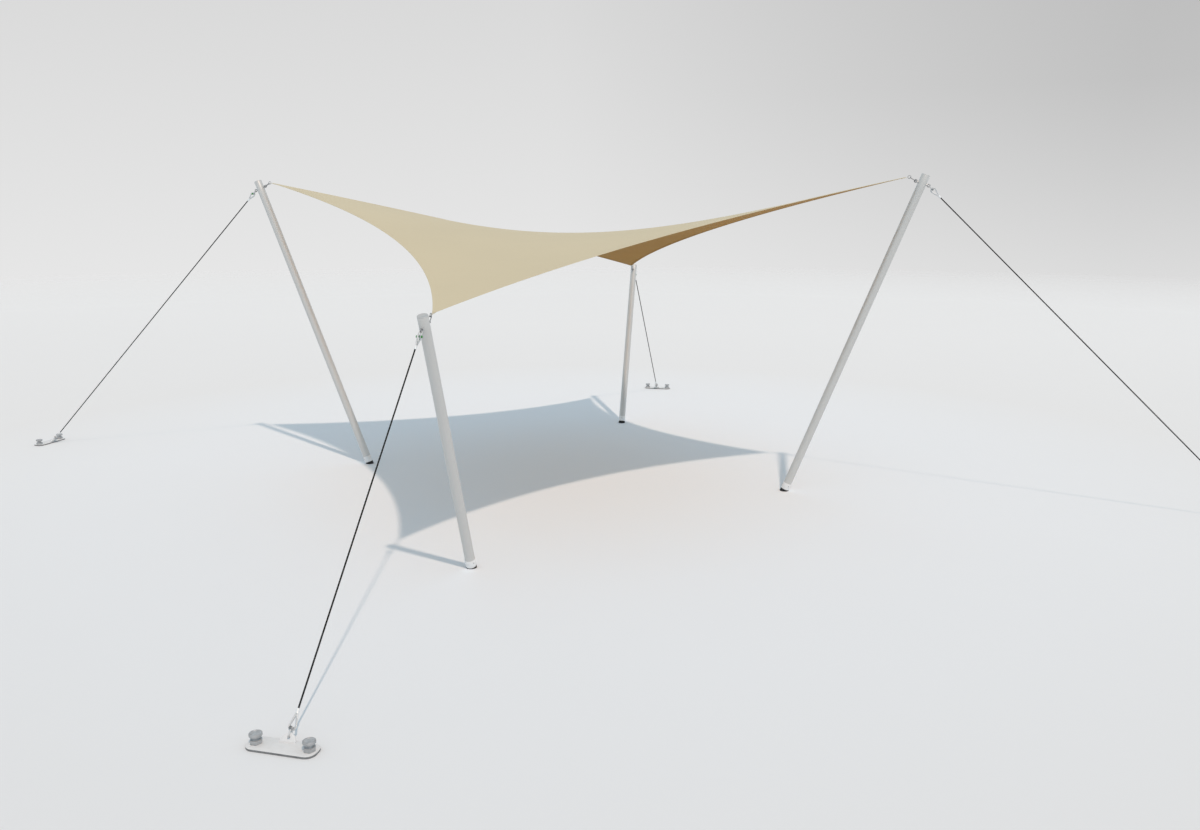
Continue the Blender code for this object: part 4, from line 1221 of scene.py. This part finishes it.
class BuildCables(Operator):
    """Make the sheathed guy cables with their thimbles, bare rope eyes and pressed sleeves"""
    bl_idname = "canopy.cables"
    bl_label = "Guy Cables"

    def execute(self, context):
        s = context.scene.canopy_rigging
        hold = LOOP_R - LOOP_WIRE / 2 - GUY_LINK["pin"] / 2 - GAP
        inner, wall = LOOP_R - LOOP_WIRE / 2 + 0.0001, 0.0019
        centre = inner + wall + s.strand / 2
        rope = teardrop(centre, 0.0056, LOOP_APEX + 0.001, 56, rise=0.008)
        flange, side = inner + 0.0078, LOOP_WIRE / 2 - 0.0002
        channel = [(0.0, -side + 0.0016), (0.0, side - 0.0016), (0.0016, side - 0.0004),
                   (flange - inner, side), (flange - inner, side - 0.0014), (wall + 0.0018, side - 0.0026),
                   (wall, 0.0), (wall + 0.0018, -side + 0.0026), (flange - inner, -side + 0.0014),
                   (flange - inner, -side), (0.0016, -side + 0.0004)]
        groove = teardrop(inner, 0.0016, LOOP_APEX - 0.018, 56)
        thimble = sweep([(p.x, p.y, 0) for p in groove], [(-x, y) for x, y in channel], lift=(0, 0, 1))
        e = FERRULE_D / 2
        sleeve_rows = [(e * 0.55, 0.0), (e * 0.86, 0.0), (e * 0.97, 0.0012), (e, 0.004), (e, 0.0095),
                       (e * 0.975, 0.011), (e, 0.0125), (e, 0.0175), (e * 0.975, 0.019), (e, 0.0205),
                       (e, 0.025), (e * 0.95, 0.0285), (e * 0.80, 0.0335), (e * 0.68, 0.0368),
                       (e * 0.62, FERRULE_LEN), (e * 0.50, FERRULE_LEN)]
        sleeve = lathe([(0, 0)] + sleeve_rows + [(0, FERRULE_LEN)], 40, mark=1,
                       squeeze=lambda z: 0.74 + 0.26 * max(0.0, min(1.0, (z - 0.016) / 0.016)))
        for name, spin, at in corners():
            length = (at["low_pin"] - at["pin"]).length
            place = spin @ seat(at["pin"], at["d"])
            ends = (Matrix.Translation((0, 0, hold)) @ Matrix.Rotation(pi / 2, 4, "X"),
                    Matrix.Translation((0, 0, length - hold)) @ Matrix.Rotation(pi / 2, 4, "Z")
                    @ Matrix.Rotation(-pi / 2, 4, "X"))
            metal, lines = Shape(), []
            for turn in ends:
                metal.join(thimble, turn)
                metal.join(sleeve, turn @ Matrix.Translation((0, LOOP_APEX, 0))
                           @ Matrix.Rotation(-pi / 2, 4, "X"))
                lines.append(([place @ turn @ Vector((p.x, p.y, 0)) for p in rope], None))
            eyes = grow("eye_rope", rules("rope"), path_mesh(lines), diameter=s.strand, strands=6.0,
                        depth=0.13, lay=0.066, step=0.0035, around=24, finish=finish("strand"))
            a = hold + LOOP_APEX + FERRULE_LEN - 0.004
            run = ([place @ Vector((0, 0, a + (length - 2 * a) * i / 20)) for i in range(21)], None)
            cable = grow("sheathed_cable", rules("rope"), path_mesh([run]), diameter=s.cable, strands=6.0,
                         depth=0.05, lay=s.lay, step=0.0095, around=18, finish=finish("sheath"))
            cover = [metal.mesh("metal", place)]
            for ob, mark in ((eyes, 2), (cable, 3)):
                me = ob.data
                me.polygons.foreach_set("material_index", [mark] * len(me.polygons))
                cover.append(me)
                drop(ob)
            piece("guy_line_" + name, cover, ["zinc", "sleeve", "strand", "sheath"],
                  ["guy_cable_" + name])
        return {"FINISHED"}


class BuildAnchors(Operator):
    """Make the anchor plates with their lugs and weld beads"""
    bl_idname = "canopy.anchors"
    bl_label = "Anchor Plates"

    def execute(self, context):
        size = context.scene.canopy_ground.weld
        half, xs, r = STAKE_PITCH / 2, STAKE_SET_BACK, PLATE_CORNER
        outer = []
        for k, (sx, sy) in enumerate(((1, 1), (-1, 1), (-1, -1), (1, -1))):
            cx, cy = xs + sx * (PLATE_W / 2 - r), sy * (PLATE_L / 2 - r)
            outer += [(cx + r * cos(a), cy + r * sin(a)) for a in [pi / 2 * (k + i / 14) for i in range(15)]]
        holes = [circle(SHAFT_D / 2 + 2 * GAP, 28, xs, k * half) for k in (1, -1)]
        # The sides take the dark grey edge finish, which partly paints the shade along the plate's edge.
        flat = cut_plate(outer, holes, PLATE_T, 0.0012, side_mark=1)
        half_bead = [(0, 0.30), (0.62, 0.26), (0.93, 0.12)]
        bead = lathe(half_bead + [(1.0, 0.0)] + [(r, -z) for r, z in reversed(half_bead)], 12)
        bead = helper("one_bead", bead.mesh("bead", Matrix.Rotation(radians(78), 4, "Y")))
        for name, spin, at in corners():
            slope = at["guy"]
            base, root = [(ANCHOR_EYE_Z - z) / sin(slope) for z in (PLATE_T, PLATE_T * 0.55)]
            arc = [-pi / 2 + pi * i / 36 for i in range(37)]
            ring = [(-root, -LUG_R), *((LUG_R * cos(t) - base, LUG_R * sin(t)) for t in arc), (-root, LUG_R)]
            lug = cut_plate(ring, [circle(LUG_HOLE_D / 2, 32)], LUG_T, 0.0014)
            m = Matrix.Translation((0, 0, ANCHOR_EYE_Z)) @ Matrix((
                (-cos(slope), 0, sin(slope), 0), (0, -1, 0, 0), (sin(slope), 0, cos(slope), 0), (0, 0, 0, 1)))
            plate = Shape().join(flat, Matrix.Translation((0, 0, PLATE_T / 2))).join(lug, m)
            place = spin @ Matrix.Translation((at["eye"].x, 0, 0))
            foot = (ANCHOR_EYE_Z - PLATE_T) / tan(slope)
            off, w, lines = LUG_T / 2 / sin(slope), LUG_R - 0.006, []
            for side in (1, -1):
                x = foot + side * (off + size * 0.16)
                pts = [place @ Vector((x, -w + 2 * w * i / 8, PLATE_T + size * 0.10)) for i in range(9)]
                lines.append((pts, [place.to_3x3() @ Vector((side * 0.7, 0, 0.7))] * 9))
            weld = grow("lug_weld_" + name, rules("run"), path_mesh(lines), copy=bead, pitch=size * 0.34,
                        scale=size * 0.62, uneven=0.10, seed=11 + int(at["angle"]), finish=finish("plate"))
            seat_piece(weld)
            piece("ground_plate_" + name, [plate.mesh("plate", place, 30)], ["plate", "plate_edge"],
                  ["anchor_plate_" + name])
        drop(bead)
        return {"FINISHED"}


class BuildStakes(Operator):
    """Make the ground stakes with their struck heads and hexagonal collars"""
    bl_idname = "canopy.stakes"
    bl_label = "Ground Stakes"

    def execute(self, context):
        z0 = PLATE_T + GAP
        z1, z2 = z0 + COLLAR_H, z0 + COLLAR_H + NECK_H
        z3, r = z2 + HEAD_H, HEAD_D / 2
        d, u, low = DISH_D / 2, HEAD_UNDERCUT, z3 - DISH_H
        profile = [(0, low - 0.0004), (d * 0.6, low - 0.0002), (d - 0.0010, low), (d + 0.0006, low + 0.0004),
                   (d + DISH_H - 0.0008, z3 - 0.0006), (d + DISH_H + 0.0008, z3), (r - 0.0040, z3),
                   (r - 0.0022, z3 - 0.0005), (r - 0.0008, z3 - 0.0018), (r - 0.0001, z3 - 0.0040),
                   (r, z2 + u + 0.001), (r - 0.0003, z2 + u), (r - 0.0016, z2 + u - 0.0022),
                   (r - u + 0.0012, z2 + 0.0010), (r - u - 0.0010, z2), (NECK_D / 2 + 0.003, z2),
                   (NECK_D / 2, z2 - 0.003), (NECK_D / 2, z1 + 0.003), (NECK_D / 2 + 0.003, z1 - 0.0005),
                   (SHAFT_D / 2, z1 - 0.004), (SHAFT_D / 2, 0.0008), (SHAFT_D / 2 - 0.001, GAP), (0, GAP)]
        core = lathe(profile, 64, marks=[1] * 4 + [0] * (len(profile) - 5))
        collar = hex_nut(COLLAR_AF, COLLAR_H, SHAFT_D - 0.002, steps=72)
        whole = Shape().join(core).join(collar, Matrix.Translation((0, 0, z0)))
        for name, spin, at in corners():
            for tag, side in (("_a", -1), ("_b", 1)):
                spot = (at["eye"].x + STAKE_SET_BACK, side * STAKE_PITCH / 2, 0)
                piece("ground_stake_" + name + tag,
                      [whole.mesh("stake", spin @ Matrix.Translation(spot), 32)],
                      ["stake", "struck"], ["stake_" + name + tag])
        return {"FINISHED"}


class SetStage(Operator):
    """Lay the pale floor, light it softly and set the camera"""
    bl_idname = "canopy.stage"
    bl_label = "Stage"

    def execute(self, context):
        scene, s = context.scene, context.scene.canopy_stage
        radius = s.floor_radius
        n, rings = 96, (radius * 0.25, radius * 0.6, radius)
        verts = [(0, 0, FLOOR_Z)] + [(x, y, FLOOR_Z) for r in rings for x, y in circle(r, n)]
        faces = [[0, 1 + i, 1 + (i + 1) % n] for i in range(n)]
        for k in (1, 1 + n):
            faces += [[k + i, k + n + i, k + n + (i + 1) % n, k + (i + 1) % n] for i in range(n)]
        me = bpy.data.meshes.new("floor")
        me.from_pydata(verts, [], faces)
        tone = tuple(s.floor_colour)
        me.materials.append(floor_finish("pale_floor", tone, dim(tone, 1.095), radius * 0.52, radius * 0.92))
        show("floor", me)

        key = bpy.data.lights.new("key", "SUN")
        key.energy, key.color, key.angle = s.sun, KEY_TONE, radians(1.6)
        show("key", key).rotation_euler = Vector(KEY_WAY).to_track_quat("-Z", "Y").to_euler()

        world = bpy.data.worlds.new("studio")
        world.use_nodes = True
        scene.world = world
        w = Nodes(world.node_tree)
        world.node_tree.nodes.clear()
        look = w.wire("ShaderNodeTexCoord", None, None, "Generated")
        across, height = w.part(look, 0, 2)

        def span(value, low, high, a, b):
            return w.wire("ShaderNodeMapRange", None, {0: value, 1: low, 2: high, 3: a, 4: b})

        shade = 1.0 - span(across, -0.28, 0.25, 0.0, 1.0) * span(height, -0.13, 0.12, 0.03, 0.26)
        seen = (1.0, 1.0, 1.0) * (span(height, -0.09, 0.20, 0.807, 0.700) * shade)
        fill = dim(FILL_TONE, s.fill) * span(height, 0.0, 1.0, 1.5, 0.75)
        eye = w.wire("ShaderNodeLightPath", None, None, "Is Camera Ray")
        tone = w.wire("ShaderNodeMix", {"data_type": "RGBA"}, {0: eye, 6: fill, 7: seen}, 2)
        back = w.wire("ShaderNodeBackground", None, {"Color": tone, "Strength": 1.0})
        w.node("ShaderNodeOutputWorld", None, {"Surface": back})

        lens = bpy.data.cameras.new("camera")
        lens.sensor_fit, lens.sensor_width, lens.lens = "HORIZONTAL", SENSOR, FOCAL_PX / FRAME_PX * SENSOR
        lens.clip_end = 400.0
        lens.shift_x, lens.shift_y = -0.5 / FRAME_PX, 0.5 / FRAME_PX
        view = scene.camera = show("camera", lens)
        view.location = CAMERA_AT
        view.rotation_euler = [radians(a) for a in CAMERA_TURN]
        scene.view_settings.view_transform = "Standard"
        scene.view_settings.look = "None"
        return {"FINISHED"}


STEPS = (SetStage, BuildSail, BuildMasts, BuildFeet, BuildEyeBolts, BuildShackles, BuildTips, BuildCables,
         BuildAnchors, BuildStakes)
SETTINGS = (("canopy_sail", SailSettings), ("canopy_masts", MastSettings),
            ("canopy_rigging", RiggingSettings), ("canopy_ground", GroundSettings),
            ("canopy_stage", StageSettings))


class CanopyPanel(Panel):
    """Settings and build steps of the canopy"""
    bl_idname = "VIEW3D_PT_canopy"
    bl_label = "Four Point Canopy"
    bl_space_type = "VIEW_3D"
    bl_region_type = "UI"
    bl_category = "Canopy"

    def draw(self, context):
        for step in STEPS:
            self.layout.operator(step.bl_idname)
        for key, group in SETTINGS:
            box = self.layout.box()
            box.label(text=key.split("_")[1].title())
            for prop in group.__annotations__:
                box.prop(getattr(context.scene, key), prop)


def register():
    for key, group in SETTINGS:
        bpy.utils.register_class(group)
        setattr(bpy.types.Scene, key, PointerProperty(type=group))
    for cls in (*STEPS, CanopyPanel):
        bpy.utils.register_class(cls)


def unregister():
    for cls in (CanopyPanel, *reversed(STEPS)):
        bpy.utils.unregister_class(cls)
    for key, group in reversed(SETTINGS):
        delattr(bpy.types.Scene, key)
        bpy.utils.unregister_class(group)


def main():
    register()
    for step in STEPS:
        family, verb = step.bl_idname.split(".")
        getattr(getattr(bpy.ops, family), verb)()


if __name__ == "__main__":
    main()
